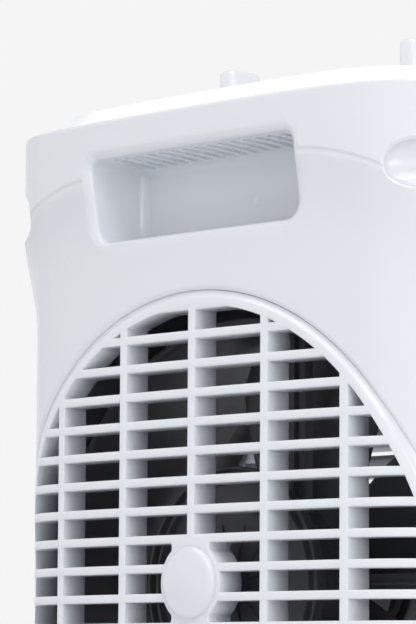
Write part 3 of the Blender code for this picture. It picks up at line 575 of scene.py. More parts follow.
def edge_round(distance, radius):
    """Extra inset at a distance from an edge that is rounded with a radius."""
    inside = np.clip(radius - distance, 0, radius)
    return radius - np.sqrt(np.maximum(radius**2 - inside**2, 0))


def shell_grid(plan, angles, rows, offset, wall, opening, radii):
    """One skin of a casing half: rows of points from the opening out to the top, bottom and seam.

    A row is ("open", distance from the opening), ("mid", (loop, loop, share)) or ("edge", distance).
    """
    half = plan[0][-1]
    low = BOTTOM - HUB_Z
    high = TOP - HUB_Z
    points = []
    start = reach_to(opening, angles)
    for kind, value in rows:
        if kind == "open":
            reach = start + value
        elif kind == "edge":
            inner = value + wall * (1 - value / EDGE_SPAN)
            reach = to_rectangle(angles, half - value, low + inner, high - inner)
        else:
            a, b, t = value
            reach = a(angles) * (1 - t) + b(angles) * t
        s = reach * np.cos(angles)
        z = reach * np.sin(angles)
        extra = np.zeros_like(s)
        if not wall:
            for distance, radius in (
                (high - z, radii["top"]),
                (z - low, radii["bottom"]),
                (half - np.abs(s), radii["seam"]),
            ):
                extra = np.maximum(extra, edge_round(np.maximum(distance, 0), radius))
            if kind == "open":
                extra = np.maximum(extra, edge_round(np.full_like(s, value), radii["open"]))
        inset = offset(s, z) + extra + wall
        x, y = on_plan(plan, s, inset)
        points.append(np.stack([x, y, z + HUB_Z], -1))
    return points


def between(first, second, shares):
    """Rows at shares of the way from one loop to another; a loop is a distance for each angle."""
    return [("mid", (first, second, t)) for t in shares]


def border(plan):
    """The loop where a half's edge rows start."""
    half = plan[0][-1] - EDGE_SPAN
    return lambda turn: to_rectangle(turn, half, BOTTOM - HUB_Z + EDGE_SPAN, TOP - HUB_Z - EDGE_SPAN)


def draw_in(points, faces, ring, numbers, shares, closed):
    """Carries an edge row in towards the casing's middle at its own height, and closes it if asked."""
    for share in shares:
        fresh = range(len(points), len(points) + len(ring))
        points += list(ring * (share, share, 1))
        faces += band(numbers, fresh)[:-1]
        numbers = fresh
    if closed:
        points.append(ring.mean(0) * (0, 0, 1))
        faces += [(a, b, len(points) - 1) for a, b in zip(numbers, numbers[1:])]


def build_half(name, plan, offset, opening, middle_rows, radii, wall=WALL):
    """A closed casing half with an outer and an inner skin."""
    angles = ray_angles(plan[0][-1], BOTTOM - HUB_Z, TOP - HUB_Z)
    count = len(angles)
    open_rows = [("open", d) for d in (0.0, 0.0003, 0.0008, 0.0014, 0.0022, OPEN_SPAN)]
    edge_steps = (EDGE_SPAN, 0.009, 0.0065, 0.0045, 0.0032, 0.002, 0.0011, 0.0005, 0.0002, 0.0)
    rows = open_rows + middle_rows + [("edge", d) for d in edge_steps]
    top = range(UP, UP + ACROSS + 1)
    bottom = [(2 * UP + ACROSS + i) % count for i in range(ACROSS + 1)]
    skins = []
    for depth in (0.0, wall):
        grid = shell_grid(plan, angles, rows, offset, depth, opening, radii)
        points, faces = skin(grid)
        last = len(points) - count
        for columns, shares, closed in (
            (top, (0.985, 0.95, 0.90), False),
            (bottom, (0.985, 0.95, 0.8, 0.5, 0.2, 0.02), True),
        ):
            ring = np.array([grid[-1][j] for j in columns])
            draw_in(points, faces, ring, [last + j for j in columns], shares, closed)
        skins.append((points, faces))
    (points, faces), (inner_points, inner_faces) = skins
    shift = len(points)
    edges = dict.fromkeys(edge for face in faces for edge in sides(face))
    faces += [tuple(shift + v for v in reversed(face)) for face in inner_faces]
    faces += [(b, a, shift + a, shift + b) for a, b in edges if (b, a) not in edges]
    return mesh_piece(name, points + inner_points, faces)


def opening_loop(radius, plan, offset):
    """A circle of the front view as a loop of (arc length, height) on a plan."""
    turn = np.linspace(0, 2 * pi, 721)[:-1]
    x = radius * np.cos(turn)
    z = radius * np.sin(turn)
    s = x.copy()
    table = np.linspace(0, plan[0][-1] * 0.92, 2000)
    base_x = np.interp(table, plan[0], plan[1])
    base_n = np.interp(table, plan[0], plan[3])
    for _ in range(6):
        inset = offset(s, z)
        for i in range(len(s)):
            reach = base_x - base_n * inset[i]
            stop = int(np.argmax(reach)) + 1
            s[i] = np.sign(x[i]) * np.interp(abs(x[i]), reach[:stop], table[:stop])
    return np.stack([s, z], -1)


REAR_OPENING = opening_loop(OPENING, REAR_PLAN, cover_inset)


def rear_rows():
    """Rows of the rear half, closer together across the crease."""
    start = lambda turn: reach_to(REAR_OPENING, turn) + OPEN_SPAN
    inside = lambda turn: reach_to(CREASE, turn) - 0.004
    outside = lambda turn: reach_to(CREASE, turn) + 0.0025
    rows = between(start, inside, (0.08, 0.17, 0.27, 0.38, 0.5, 0.61, 0.71, 0.8, 0.88, 0.95, 1.0))
    rows += between(inside, outside, (0.14, 0.28, 0.38, 0.46, 0.54, 0.62, 0.70, 0.78, 0.88, 1.0))
    return rows + between(outside, border(REAR_PLAN), (0.2, 0.4, 0.6, 0.8))


def outline_of(half_width, low, high, radii, count=7):
    """A rounded rectangle of (x, z) points, anticlockwise from the lower left corner."""
    corners = [(-1, low + radii[0], radii[0], pi), (1, low + radii[0], radii[0], 1.5 * pi)]
    corners += [(1, high - radii[1], radii[1], 0), (-1, high - radii[1], radii[1], pi / 2)]
    points = []
    for side, z, radius, first in corners:
        for turn in [first + part for part in quarter(count - 1)]:
            points.append((side * (half_width - radius) + radius * cos(turn), z + radius * sin(turn)))
    result = []
    for a, b in sides(points):
        pieces = max(1, int(hypot(b[0] - a[0], b[1] - a[1]) / 0.004))
        result += [mix(a, b, k / pieces) for k in range(pieces)]
    return result


def rear_point(s, z, depth):
    """A point at a depth under the rear half's surface; z is from the hub."""
    x, y = on_plan(REAR_PLAN, s, cover_inset(s, z) + depth)
    return np.stack([x, y, z + HUB_Z], -1)


LIP = 0.0046
SIDE_LIP = 0.45
LIP_START = radians(20)
LIP_OVERLAP = 0.004
RECESS_HALF = 0.0785
RECESS_HALF_HEIGHT = 0.0236
RECESS_DRAFT = 0.0012
RECESS_FLOOR = 0.008
GRIP_COUNT = 15
GRIP_PITCH = 0.0093
GRIP_HALF = 0.0027
GRIP_DEPTH = 0.0017


def recess_ring(grow, depth, flat=None):
    """The recess's outline grown outward, at a depth under the surface, or at a flat y."""
    shape = np.array(outline_of(RECESS_HALF, -RECESS_HALF_HEIGHT, RECESS_HALF_HEIGHT, (0.0105, 0.0065)))
    normal = ring_normals(shape)
    wider = 1 + SIDE_LIP * normal[:, :1] ** 2 * (grow > 0)
    shape = shape + normal * grow * wider
    z = shape[:, 1] + (RECESS_LOW + RECESS_HIGH) / 2 - HUB_Z
    x = shape[:, 0]
    if flat is not None:
        return np.stack([x, np.full_like(x, flat), z + HUB_Z], -1)
    return rear_point(cover_s(x), z, depth)


def ring_normals(shape):
    """Outward normals of a closed anticlockwise outline."""
    after = np.roll(shape, -1, 0) - shape
    before = shape - np.roll(shape, 1, 0)
    along = sum(step / np.linalg.norm(step, axis=1)[:, None] for step in (after, before))
    along /= np.linalg.norm(along, axis=1)[:, None]
    return np.stack([along[:, 1], -along[:, 0]], -1)


def recess_cutter():
    """The hollow of the recess: a rolled lip, straight sides and a rounded floor."""
    rings = []
    for extend in (0.02, LIP_OVERLAP):
        grow = LIP * (1 - sin(LIP_START)) + LIP_OVERLAP * cos(LIP_START)
        depth = LIP * (1 - cos(LIP_START)) - LIP_OVERLAP * sin(LIP_START)
        rings.append(recess_ring(grow, depth - extend + LIP_OVERLAP))
    for turn in quarter(7, LIP_START):
        rings.append(recess_ring(LIP * (1 - sin(turn)), LIP * (1 - cos(turn))))
    front = rings[-1]
    for share in (0.35, 0.7):
        target = recess_ring(-RECESS_DRAFT * share, 0, RECESS_BACK + RECESS_FLOOR)
        rings.append(front * (1 - share) + target * share)
    for turn in quarter(6):
        grow = -RECESS_DRAFT - RECESS_FLOOR * (1 - cos(turn)) * 0.8
        rings.append(recess_ring(grow, 0, RECESS_BACK + RECESS_FLOOR * (1 - sin(turn))))
    return loft("recess", rings)


def recess_block():
    """The solid round the recess, which starts halfway through the wall."""
    return loft("recess_block", [recess_ring(0.0075, WALL / 2), recess_ring(0.0045, 0, RECESS_BACK - WALL)])


def grip_cutters():
    """Round-ended grooves in the recess's ceiling, front to back."""
    profile = [(GRIP_HALF * cos(a), GRIP_DEPTH * sin(a)) for a in np.linspace(0, pi, 9)]
    profile += [(-GRIP_HALF, -0.004), (GRIP_HALF, -0.004)]
    back = RECESS_BACK + 0.0035
    grooves = []
    for i in range(GRIP_COUNT):
        x = (i - GRIP_COUNT // 2) * GRIP_PITCH
        front = REAR - crown(x) - 0.0095
        stations = [(0.15, front), (0.75, front - 0.0012), (1, front - 0.003)]
        stations += [(1, back + 0.003), (0.75, back + 0.001), (0.15, back)]
        rings = []
        for share, y in stations:
            section = [(across, up * share if up > 0 else up) for across, up in profile]
            rings.append([(x + across * share, y, RECESS_HIGH - 0.0002 + up) for across, up in section])
        grooves.append(loft("groove", rings))
    return joined("grooves", grooves)


SCOOP_S = np.interp(HALF_WIDTH - CORNER + CORNER * sin(pi / 4), REAR_PLAN[1][:300], REAR_PLAN[0][:300])
SCOOP_LIP = 0.0024
SCOOP_BOWL = 0.0056


def scoop_loft(name, side, levels):
    """A solid through copies of the scoop's oval, each scaled and then grown at a depth."""
    turn = np.linspace(0, 2 * pi, 73)[:-1]
    oval = np.stack([SCOOP_HALF_LENGTH * np.cos(turn), SCOOP_HALF_HEIGHT * np.sin(turn)], -1)
    normal = ring_normals(oval)
    rings = []
    for scale, grow, depth in levels:
        ring = oval * scale + normal * grow
        s = SCOOP_S + ring[:, 0]
        x, y = on_plan(REAR_PLAN, side * s, swept_inset(s, ring[:, 1] + SCOOP_Z - HUB_Z) + depth)
        rings.append(np.stack([x, y, ring[:, 1] + SCOOP_Z], -1))
    return loft(name, rings)


def scoop_cutter(side):
    """A shallow bowl in a rear corner, with a softly rounded rim."""
    levels = [(1, SCOOP_LIP * 0.95, -0.012), (1, SCOOP_LIP * 0.95, -0.0008)]
    for turn in quarter(5, LIP_START):
        levels.append((1, SCOOP_LIP * (1 - sin(turn)), SCOOP_LIP * (1 - cos(turn))))
    for turn in quarter(9)[1:-1]:
        levels.append((cos(turn), 0, SCOOP_LIP + SCOOP_BOWL * sin(turn)))
    return scoop_loft("scoop", side, levels)


def scoop_block(side):
    """The solid behind a scoop, which starts inside the wall."""
    return scoop_loft("scoop_block", side, [(1, 0.0048, 0.0032), (1, 0.0040, 0.0115)])


def build_rear_shell():
    """The rear casing half with its recess, grooves, scoops, screw holes and cord hole."""
    radii = {"top": 0.0022, "bottom": 0.0045, "seam": 0.0006, "open": 0.0026}
    shell = build_half("rear_case", REAR_PLAN, cover_inset, REAR_OPENING, rear_rows(), radii, 0.0045)
    boolean(shell, [recess_block()], "UNION")
    boolean(shell, [recess_cutter()], "DIFFERENCE")
    boolean(shell, [grip_cutters()], "DIFFERENCE")
    boolean(shell, [scoop_block(1), scoop_block(-1)], "UNION")
    boolean(shell, [scoop_cutter(1), scoop_cutter(-1)], "DIFFERENCE")
    holes = []
    for i in range(1, 5):
        x, _, z = centre_of(f"case_screw_{i}")
        holes.append(lathe("hole", rounded(rod(0.0048, -0.06, 0.08), 0.0004), 32, y=0.03, x=x, z=z))
    x, y, z = centre_of("cord_inlet")
    radius = round_box("cord_inlet")[2] + FIT_GAP
    holes.append(lathe("hole", rod(radius, -0.03, 0.03), 40, y=y, x=x, z=z))
    boolean(shell, [joined("holes", holes)], "DIFFERENCE")
    return show(shell, "rear_case_half", "rear_shell", WHITE, crisp=40)


# ---------------------------------------------------------------- rear grille


def resample(polygon, gap=0.0042):
    """Adds points along horizontal edges, spaced by arc length on the curved face."""
    result = []
    for a, b in sides(polygon):
        sa, sb = cover_s(np.array([a[0], b[0]]))
        pieces = max(1, int(np.ceil(abs(sb - sa) / gap)))
        for k in range(pieces):
            t = k / pieces
            if k and abs(b[0] - a[0]) > 1e-6:
                x = np.sign(a[0] + b[0]) * np.interp(abs(sa + (sb - sa) * t), COVER_S, COVER_X)
                if a[0] * b[0] < 0:
                    x = a[0] + (b[0] - a[0]) * t
                result.append((x, a[1] + (b[1] - a[1]) * (x - a[0]) / (b[0] - a[0])))
            else:
                result.append(mix(a, b, t))
    return result


def clipped(polygon, radius, count=240):
    """The part of a convex polygon inside a circle."""
    for i in range(count):
        turn = 2 * pi * (i + 0.5) / count
        n = (cos(turn), sin(turn))
        limit = radius * cos(pi / count)
        if max(p[0] * n[0] + p[1] * n[1] for p in polygon) <= limit:
            continue
        kept = []
        for a, b in sides(polygon):
            da = a[0] * n[0] + a[1] * n[1] - limit
            db = b[0] * n[0] + b[1] * n[1] - limit
            if da <= 0:
                kept.append(a)
            if da * db < 0:
                kept.append(mix(a, b, da / (da - db)))
        polygon = kept
        if not polygon:
            return []
    return polygon


def tidy(polygon, least=0.0004):
    """Drops points that are too close together."""
    kept = []
    for p in polygon:
        if not kept or hypot(p[0] - kept[-1][0], p[1] - kept[-1][1]) > least:
            kept.append(p)
    if len(kept) > 1 and hypot(kept[0][0] - kept[-1][0], kept[0][1] - kept[-1][1]) <= least:
        kept.pop()
    return kept


def area(polygon):
    """Area of an anticlockwise polygon."""
    return sum(a[0] * b[1] - b[0] * a[1] for a, b in sides(polygon)) / 2


def grille_cells():
    """Openings of the grille as anticlockwise (x, z) outlines."""
    cells = []
    for row in range(-10, 11):
        low = (row - 0.5) * PITCH + SLAT / 2
        high = (row + 0.5) * PITCH - SLAT / 2
        for column in range(-3, 3):
            left = column * RIB_SPACING + RIB / 2
            right = (column + 1) * RIB_SPACING - RIB / 2
            if column in (-1, 0) and abs(row) <= 1:
                polygon = boss_cell(left, right, low, high, column, row)
            else:
                polygon = clipped([(left, low), (right, low), (right, high), (left, high)], GRILLE_BORE)
            polygon = tidy(polygon)
            if len(polygon) < 3 or area(polygon) < 0.000004:
                continue
            cells.append(polygon)
    return cells


def boss_cell(left, right, low, high, column, row):
    """A cell beside the middle boss, whose near side follows the boss and its neck."""
    heights = np.linspace(low, high, 9)
    edge = []
    for z in heights:
        round_x = sqrt(max(BOSS**2 - z**2, 0))
        neck = NECK + 0.0007 * ((abs(z) - 0.018) / 0.004) ** 2 if abs(z) > 0.018 else NECK
        edge.append((max(round_x, neck if row else 0), z))
    if column == 0:
        return [(right, low), (right, high)] + list(reversed(edge))
    return [(left, high), (left, low)] + [(-x, z) for x, z in edge]


def offsets(polygon, distances):
    """Moves each point of an anticlockwise outline outward by its two edges' distances.

    At a shallow corner two unequal distances would slide the point past its neighbour, so their
    mean is used there.
    """
    shallow = 0.35
    count = len(polygon)
    result = []
    for i in range(count):
        a, p, b = polygon[i - 1], polygon[i], polygon[(i + 1) % count]
        e1 = Vector((p[0] - a[0], p[1] - a[1])).normalized()
        e2 = Vector((b[0] - p[0], b[1] - p[1])).normalized()
        n1 = Vector((e1.y, -e1.x))
        n2 = Vector((e2.y, -e2.x))
        d1, d2 = distances[i - 1], distances[i]
        cross = n1.x * n2.y - n1.y * n2.x
        if abs(cross) < shallow:
            n = (n1 + n2).normalized()
            move = n * (d1 + d2) / 2
        else:
            move = Vector(((d1 * n2.y - d2 * n1.y) / cross, (d2 * n1.x - d1 * n2.x) / cross))
        result.append((move.x, move.y))
    return np.array(result)


SLAT_ROUND = 0.0013
CELL_ROUND = 0.0005
BACK_ROUND = 0.0006
RIM_SLOPE = [(0.0003, 0.00004), (0.0007, 0.00022), (0.0011, 0.00055), (0.0015, 0.0010), (0.0020, 0.0015)]
RIM_SLOPE += [(0.0027, 0.0019), (0.0034, 0.0021), (0.00418, 0.0022)]


def edge_rounds(polygon):
    """How far each edge of a cell is rounded at the face: most along the lower edge of the slat above."""
    rounds = []
    for a, b in sides(polygon):
        flat = abs(b[1] - a[1]) < 1e-5
        rounds.append(SLAT_ROUND if flat and b[0] < a[0] else CELL_ROUND)
    return rounds


def circle(radius, count=264):
    """Points of a circle round the hub."""
    return [(radius * cos(2 * pi * i / count), radius * sin(2 * pi * i / count)) for i in range(count)]


def flat_face(rim, holes):
    """A plane face with holes as points and triangles, and where each outline's points are in it."""
    outlines = holes + [rim]
    loops = []
    flat = []
    for outline_points in outlines:
        loops.append(list(range(len(flat), len(flat) + len(outline_points))))
        flat += [Vector(p) for p in outline_points]
    made = delaunay_2d_cdt(flat, [], loops[-1:] + loops[:-1], 1, 1e-7, True)
    triangles = [tuple(face) for face, within in zip(made[2], made[5]) if list(within) == [0]]
    place = {old: new for new, originals in enumerate(made[3]) for old in originals}
    return [tuple(p) for p in made[0]], triangles, [[place[v] for v in loop] for loop in loops]


def build_grille():
    """One closed mesh: face, cell walls with softened edges, sloped rim and back."""
    points = []

    def add(plan_points, depth):
        """Numbers of new points at a depth under the curved face."""
        xz = np.array(plan_points)
        y = cover_y(xz[:, 0]) + GRILLE_PROUD - depth
        points.extend(np.stack([xz[:, 0], y, xz[:, 1] + HUB_Z], -1))
        return list(range(len(points) - len(xz), len(points)))

    cells = [tidy(resample(polygon), 0.00025) for polygon in grille_cells()]
    rounds = [edge_rounds(cell) for cell in cells]
    moves = [offsets(cell, widths) for cell, widths in zip(cells, rounds)]
    cells = [np.array(cell) for cell in cells]
    holes = [cell + move for cell, move in zip(cells, moves)]
    flat, triangles, loops = flat_face(circle(GRILLE_CREST), holes)
    add(flat, 0.0)
    back_plan = list(flat)
    chains = []
    for cell, move, widths, loop in zip(cells, moves, rounds, loops):
        soft = np.maximum(np.roll(widths, 1), widths)
        rows = [loop]
        for turn in quarter(3)[1:]:
            rows.append(add(cell + move * (1 - sin(turn)), soft * (1 - cos(turn))))
        rows.append(add(cell, GRILLE_DEPTH - BACK_ROUND))
        for v, p in zip(loop, cell + np.sign(move) * 0.0004):
            back_plan[v] = tuple(p)
        chains.append(rows)
    rim_rows = [loops[-1]]
    for out, depth in RIM_SLOPE:
        rim_rows.append(add(circle(GRILLE_CREST + out), depth))
    rim_rows.append(add(circle(GRILLE_EDGE), GRILLE_DEPTH))
    back = add(back_plan, GRILLE_DEPTH)
    faces = triangles + [tuple(back[v] for v in reversed(triangle)) for triangle in triangles]
    for rows, loop in zip(chains + [rim_rows], loops):
        rows.append([back[v] for v in loop])
        for upper, lower in zip(rows, rows[1:]):
            faces += band(upper, lower, flip=rows is rim_rows)
    grille = mesh_piece("grille", points, faces)
    show(grille, "intake_grille", "rear_grille", GRILLE_WHITE_PAINTED_LIGHT, crisp=40)


def build_hub_cap():
    """The domed cap in the middle of the grille."""
    seat = float(cover_y(0.0)) + GRILLE_PROUD
    rise = cap_high.y - seat
    fall = 0.0011
    profile = dome(rise, 0.0155, fall, 0.0042, rise - fall - 0.0002) + [(0.0197, -0.0010), (0, -0.0010)]
    show(lathe("cap", profile, 96, y=seat), "grille_cap", "rear_hub_cap", WHITE, crisp=50)


# ---------------------------------------------------------------- lid and knobs


def spaced(*stops):
    """Even steps between stops, given as place, count, place, count and so on to the last place."""
    runs = zip(stops[::2], stops[1::2], stops[2::2])
    return np.concatenate([np.linspace(a, b, n + 1)[:-1] for a, n, b in runs] + [[stops[-1]]]) + 1e-12


def lid_outline(inset):
    """Closed plan of the lid as points, anticlockwise from the middle of the front."""
    fx, fy = on_plan(FRONT_PLAN, spaced(0, 19, 0.148, 13, 0.190, 5, FRONT_PLAN[0][-1]), inset)
    rx, ry = on_plan(LID_PLAN, spaced(0, 16, 0.086, 44, 0.222, 3, LID_PLAN[0][-1]), inset)
    right = list(zip(fx, fy)) + list(zip(rx[::-1][1:], ry[::-1][1:]))
    left = [(-x, y) for x, y in reversed(right[1:-1])]
    return np.array(right + left)


LID_INSET = 0.0063
LID_EDGE = 0.0105


def level_ring(plan, z):
    """A plan outline at one height."""
    return np.concatenate([plan, np.full((len(plan), 1), z)], 1)


def lid_ring(inset, z):
    """The lid's outline moved inward, at one height."""
    return level_ring(lid_outline(LID_INSET + inset), z)


def build_lid():
    """A slab with a sloped edge and a crowned top, hollow below, with a seat and a bore for each knob."""
    base = lid_low.z
    top = lid_high.z
    edge = base + LID_EDGE
    rise = top - edge
    rings = []
    for inset, z in ((0.0005, 0), (0.0001, 0.0002), (0, 0.0006), (0.0003, 0.0010)):
        rings.append(lid_ring(inset, base + z))
    for t in [i / 8 for i in range(1, 9)]:
        rings.append(lid_ring(0.0003 + LID_EDGE * 0.93 * t, base + 0.001 + (LID_EDGE - 0.0022) * t))
    inner = lid_outline(LID_INSET + LID_EDGE)
    for share in [1 - (i / 17) ** 1.15 for i in range(17)]:
        rings.append(level_ring(inner * share, edge + rise * (1 - share**2) ** 0.9 * 0.985))
    points, faces = skin(rings)
    count = len(inner)
    last = len(points) - count
    points.append(np.array([0, 0, top - 0.0001]))
    faces += [(last + j, last + (j + 1) % count, len(points) - 1) for j in range(count)]
    previous = range(count)
    for ring in (
        lid_ring(0.0028, base),
        lid_ring(0.0030, base + 0.0006),
        lid_ring(LID_EDGE + 0.002, edge - 0.0022),
        level_ring(inner * 0.5, edge + rise * 0.5),
    ):
        fresh = range(len(points), len(points) + count)
        points += list(ring)
        faces += band(previous, fresh, flip=True)
        previous = fresh
    points.append(np.array([0, 0, top - 0.0030]))
    faces += [(previous[(j + 1) % count], previous[j], len(points) - 1) for j in range(count)]
    lid = mesh_piece("lid", points, faces)
    seats = []
    bores = []
    for control in ("speed", "timer"):
        x, y, _ = centre_of(f"{control}_knob")
        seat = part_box(f"{control}_knob")[0].z - 0.0003
        slope = [(0, seat), (0.0192, seat), (0.0212, seat - 0.0028), (0.0240, seat - 0.0042)]
        profile = rounded(slope, 0.0012)
        profile += [(0.0240, seat - 0.0060), (0, seat - 0.0060)]
        seats.append(lathe("seat", profile, 72, upright=True, x=x, y=y, z=0))
        x, y, _ = centre_of(f"{control}_shaft")
        bores.append(lathe("bore", rod(0.0038, -0.05, 0.05), 32, upright=True, x=x, y=y, z=top))
    boolean(lid, seats, "UNION")
    boolean(lid, bores, "DIFFERENCE")
    show(cleaned(lid), "control_lid", "top_lid", LID_WHITE)


def build_knob(node):
    """A disc with a bar grip across it, a pointer groove in the grip and a blind bore for the shaft."""
    low, high, radius = round_box(node)
    x, y, _ = centre_of(node)
    edge = [(radius - 0.0004, 0), (radius, 0.0006), (radius - 0.0006, 0.0080)]
    disc = rounded([(0, 0)] + edge + [(0, 0.0084)], 0.0014)
    knob = lathe("knob", disc, 72, upright=True, x=x, y=y, z=low.z)
    half = 0.00625
    reach = radius - 0.0007
    grip_low = (x - half, y - reach, low.z + 0.004)
    boolean(knob, [block("grip", grip_low, (x + half, y + reach, high.z), 0.0038, 7)], "UNION")
    mark_low = (x - 0.0007, y + 0.001, high.z - 0.0006)
    mark_high = (x + 0.0007, y + radius - 0.003, high.z + 0.001)
    boolean(knob, [block("mark", mark_low, mark_high, 0.0003, 2)], "DIFFERENCE")
    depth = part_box(node.replace("knob", "shaft"))[1].z - low.z + FIT_GAP
    bore = lathe("bore", rod(0.0033, -0.02, depth), 32, upright=True, x=x, y=y, z=low.z)
    boolean(knob, [bore], "DIFFERENCE")
    show(cleaned(knob), node.replace("knob", "dial"), node, WHITE)


# ---------------------------------------------------------------- front half and louvre


OUTLET = 0.1503
DISH = 0.0012
DISH_EDGE = (0.1535, 0.1625)


def dish_inset(s, z):
    """The shallow dished border round the outlet."""
    return DISH * (1 - smoothstep(np.hypot(s, z), *DISH_EDGE))


FRONT_OPENING = opening_loop(OUTLET, FRONT_PLAN, dish_inset)


def front_rows():
    """Rows of the front half, close enough together for its small corner radius."""
    start = lambda turn: reach_to(FRONT_OPENING, turn) + OPEN_SPAN
    rest = lambda turn: start(turn) + 0.0100
    rows = between(start, rest, (0.15, 0.3, 0.45, 0.6, 0.8, 1.0))
    return rows + between(rest, border(FRONT_PLAN), np.linspace(0.035, 0.965, 28))


def build_front_shell():
    """The front casing half with its dished outlet."""
    radii = {"top": 0.0022, "bottom": 0.0045, "seam": 0.0006, "open": 0.0010}
    shell = build_half("front_case", FRONT_PLAN, dish_inset, FRONT_OPENING, front_rows(), radii)
    show(shell, "front_case_half", "front_shell", WHITE, crisp=40)


VANES = 18
VANE_TILT = radians(38)
VANE_HALF_CHORD = 0.0101
VANE_HALF_THICKNESS = 0.0010
VANE_BOW = 0.0009
VANE_REACH = 0.1460
LOUVRE_RIB_X = 0.055


def vane_section():
    """A bowed strip with rounded edges, as (along the chord, across it)."""
    section = []
    for side in (1, -1):
        for t in np.linspace(-side, side, 9)[:-1]:
            thickness = VANE_HALF_THICKNESS * sqrt(max(1 - t**6, 0)) ** 0.8
            section.append((t * VANE_HALF_CHORD, VANE_BOW * (1 - t * t) + side * thickness))
    return section


def build_louvre():
    """Slanted vanes with rounded edges between a rim and a hub, with two stiffening ribs."""
    low = louvre_low.y
    high = louvre_high.y
    middle = (low + high) / 2
    outer = (louvre_high.x - louvre_low.x) / 2
    c = cos(VANE_TILT)
    s = sin(VANE_TILT)
    tilted = [(a * c - b * s, a * s, b * c) for a, b in vane_section()]
    vanes = []
    for i in range(VANES):
        z = (i - (VANES - 1) / 2) * PITCH
        reach = sqrt(max(VANE_REACH**2 - max(abs(z) - 0.006, 0) ** 2, 0))
        rings = []
        for x in np.linspace(-reach, reach, 12):
            rings.append([(x, middle + back, HUB_Z + z + up + over) for back, up, over in tilted])
        vanes.append(loft("vane", rings))
    vanes = joined("vanes", vanes)
    boolean(vanes, [lathe("disc", rod(outer - 0.0018, -0.02, 0.02), 144, y=middle)], "INTERSECT")
    hub = [(0, 0), (0.0260, 0), (0.0268, 0.0022), (0.030, 0.0030), (0.030, high - low), (0, high - low)]
    pieces = [ring_piece("rim", outer, 0.1425, low, high, 0.0012)]
    pieces.append(lathe("hub", rounded(hub, 0.0012), 96, y=low))
    reach = sqrt(0.1435**2 - LOUVRE_RIB_X**2)
    for x in (-LOUVRE_RIB_X, LOUVRE_RIB_X):
        corner = (x - 0.0015, middle - 0.0072, HUB_Z - reach)
        pieces.append(block("rib", corner, (x + 0.0015, middle + 0.0072, HUB_Z + reach), 0.0006))
    louvre = boolean(vanes, [joined("frame", pieces)], "UNION")
    show(cleaned(louvre), "outlet_louvre", "front_louvre", WHITE)


def build_louvre_cap():
    """The domed cap in the louvre's middle."""
    low, high, radius = round_box("louvre_cap")
    profile = dome(high.y - low.y, radius * 0.8, 0.0014, radius * 0.2, 0.0040) + [(radius, 0), (0, 0)]
    cap = lathe("cap", profile, 96, y=high.y, facing=-1)
    show(cap, "louvre_badge_cap", "louvre_cap", WHITE, crisp=50)


# ---------------------------------------------------------------- air path


def build_shroud():
    """The stepped ring round louvre and impeller, with a rolled rear edge and stiffening beads."""
    low, high, outer = round_box("shroud")
    step = -0.0535
    profile = [(OUTLET, low.y), (outer, low.y), (outer, step), (0.1466, step), (0.1466, high.y - 0.004)]
    profile += [(0.1480, high.y - 0.0030), (0.1480, high.y), (0.1448, high.y), (0.1436, high.y - 0.003)]
    profile += [(0.1436, step - 0.0025), (OUTLET, step - 0.0025), (OUTLET, low.y)]
    pieces = [lathe("ring", rounded(profile, 0.0009)[:-1], 180)]
    for y in (-0.034, -0.012, 0.010, 0.032):
        pieces.append(ring_piece("bead", 0.1479, 0.1460, y, y + 0.0016, 0.0005))
    for side in (-1, 1):
        x0, x1 = sorted((side * 0.1410, side * 0.1512))
        pieces.append(block("lug", (x0, -0.0612, HUB_Z - 0.008), (x1, step, HUB_Z + 0.008)))
    show(joined("duct", pieces), "air_duct", "shroud", DARK)


CUP_WALL = 0.0025
CUP_BORE = 0.0055


def build_motor_case():
    """Front and rear motor housings with rounded shoulders, raised ribs and a lipped flange."""
    low, high, radius = round_box("motor_housing_front")
    profile = [(CUP_BORE, low.y), (radius - 0.006, low.y), (radius, low.y + 0.006), (radius, high.y)]
    profile += [(radius - CUP_WALL, high.y), (radius - CUP_WALL, low.y + CUP_WALL)]
    profile += [(CUP_BORE, low.y + CUP_WALL), (CUP_BORE, low.y)]
    pieces = [lathe("front", rounded(profile, 0.0016)[:-1], 120)]
    outer = (radius + 0.0006, high.y - 0.0012, 0.0011)
    pieces += spokes(24, (radius - 0.0012, low.y + 0.0075, -0.0011), outer, 0.0005)
    show(joined("front", pieces), "motor_cup_front", "motor_housing_front", MOTOR)
    low, high, flange = round_box("motor_housing_rear")
    back = high.y - CUP_WALL
    profile = [(0, back), (radius - 0.006, back), (radius - 0.003, back - 0.0020)]
    for lip in (flange - 0.0065, flange):
        profile += [(lip - 0.0022, back - 0.0020), (lip - 0.0016, high.y), (lip, high.y)]
        if lip < flange:
            profile += [(lip + 0.0005, back - 0.0020)]
    profile += [(flange, back - 0.0045), (radius, back - 0.0045), (radius, low.y)]
    profile += [(radius - CUP_WALL, low.y), (radius - CUP_WALL, back - 0.0035), (0, back - 0.0035)]
    pieces = [lathe("rear", rounded(profile, 0.0009), 144)]
    pieces += spokes(12, (0.012, back - 0.0006, -0.0009), (0.034, back + 0.0010, 0.0009), 0.0005, phase=0.5)
    pieces.append(ring_piece("boss", 0.0105, 0.0050, back - 0.001, back + 0.0016, 0.0006, 64))
    show(joined("rear", pieces), "motor_cup_rear", "motor_housing_rear", MOTOR)


def build_motor_bracket():
    """A plate on four arms; each arm has a stiffening rib along its middle."""
    low, high, reach = round_box("motor_bracket")
    arms = spokes(4, (0.030, low.y, -0.006), (reach - 0.0002, high.y, 0.006), 0.0009, 3)
    rib_end = (reach - 0.002, high.y + 0.0040, 0.0012)
    ribs = spokes(4, (0.037, high.y - 0.001, -0.0012), rib_end, 0.0006, 3)
    pieces = [ring_piece("plate", 0.036, 0.007, low.y, high.y, 0.0008, 96)]
    pieces += [piece for pair in zip(arms, ribs) for piece in pair]
    show(joined("bracket", pieces), "motor_arms", "motor_bracket", DARK)


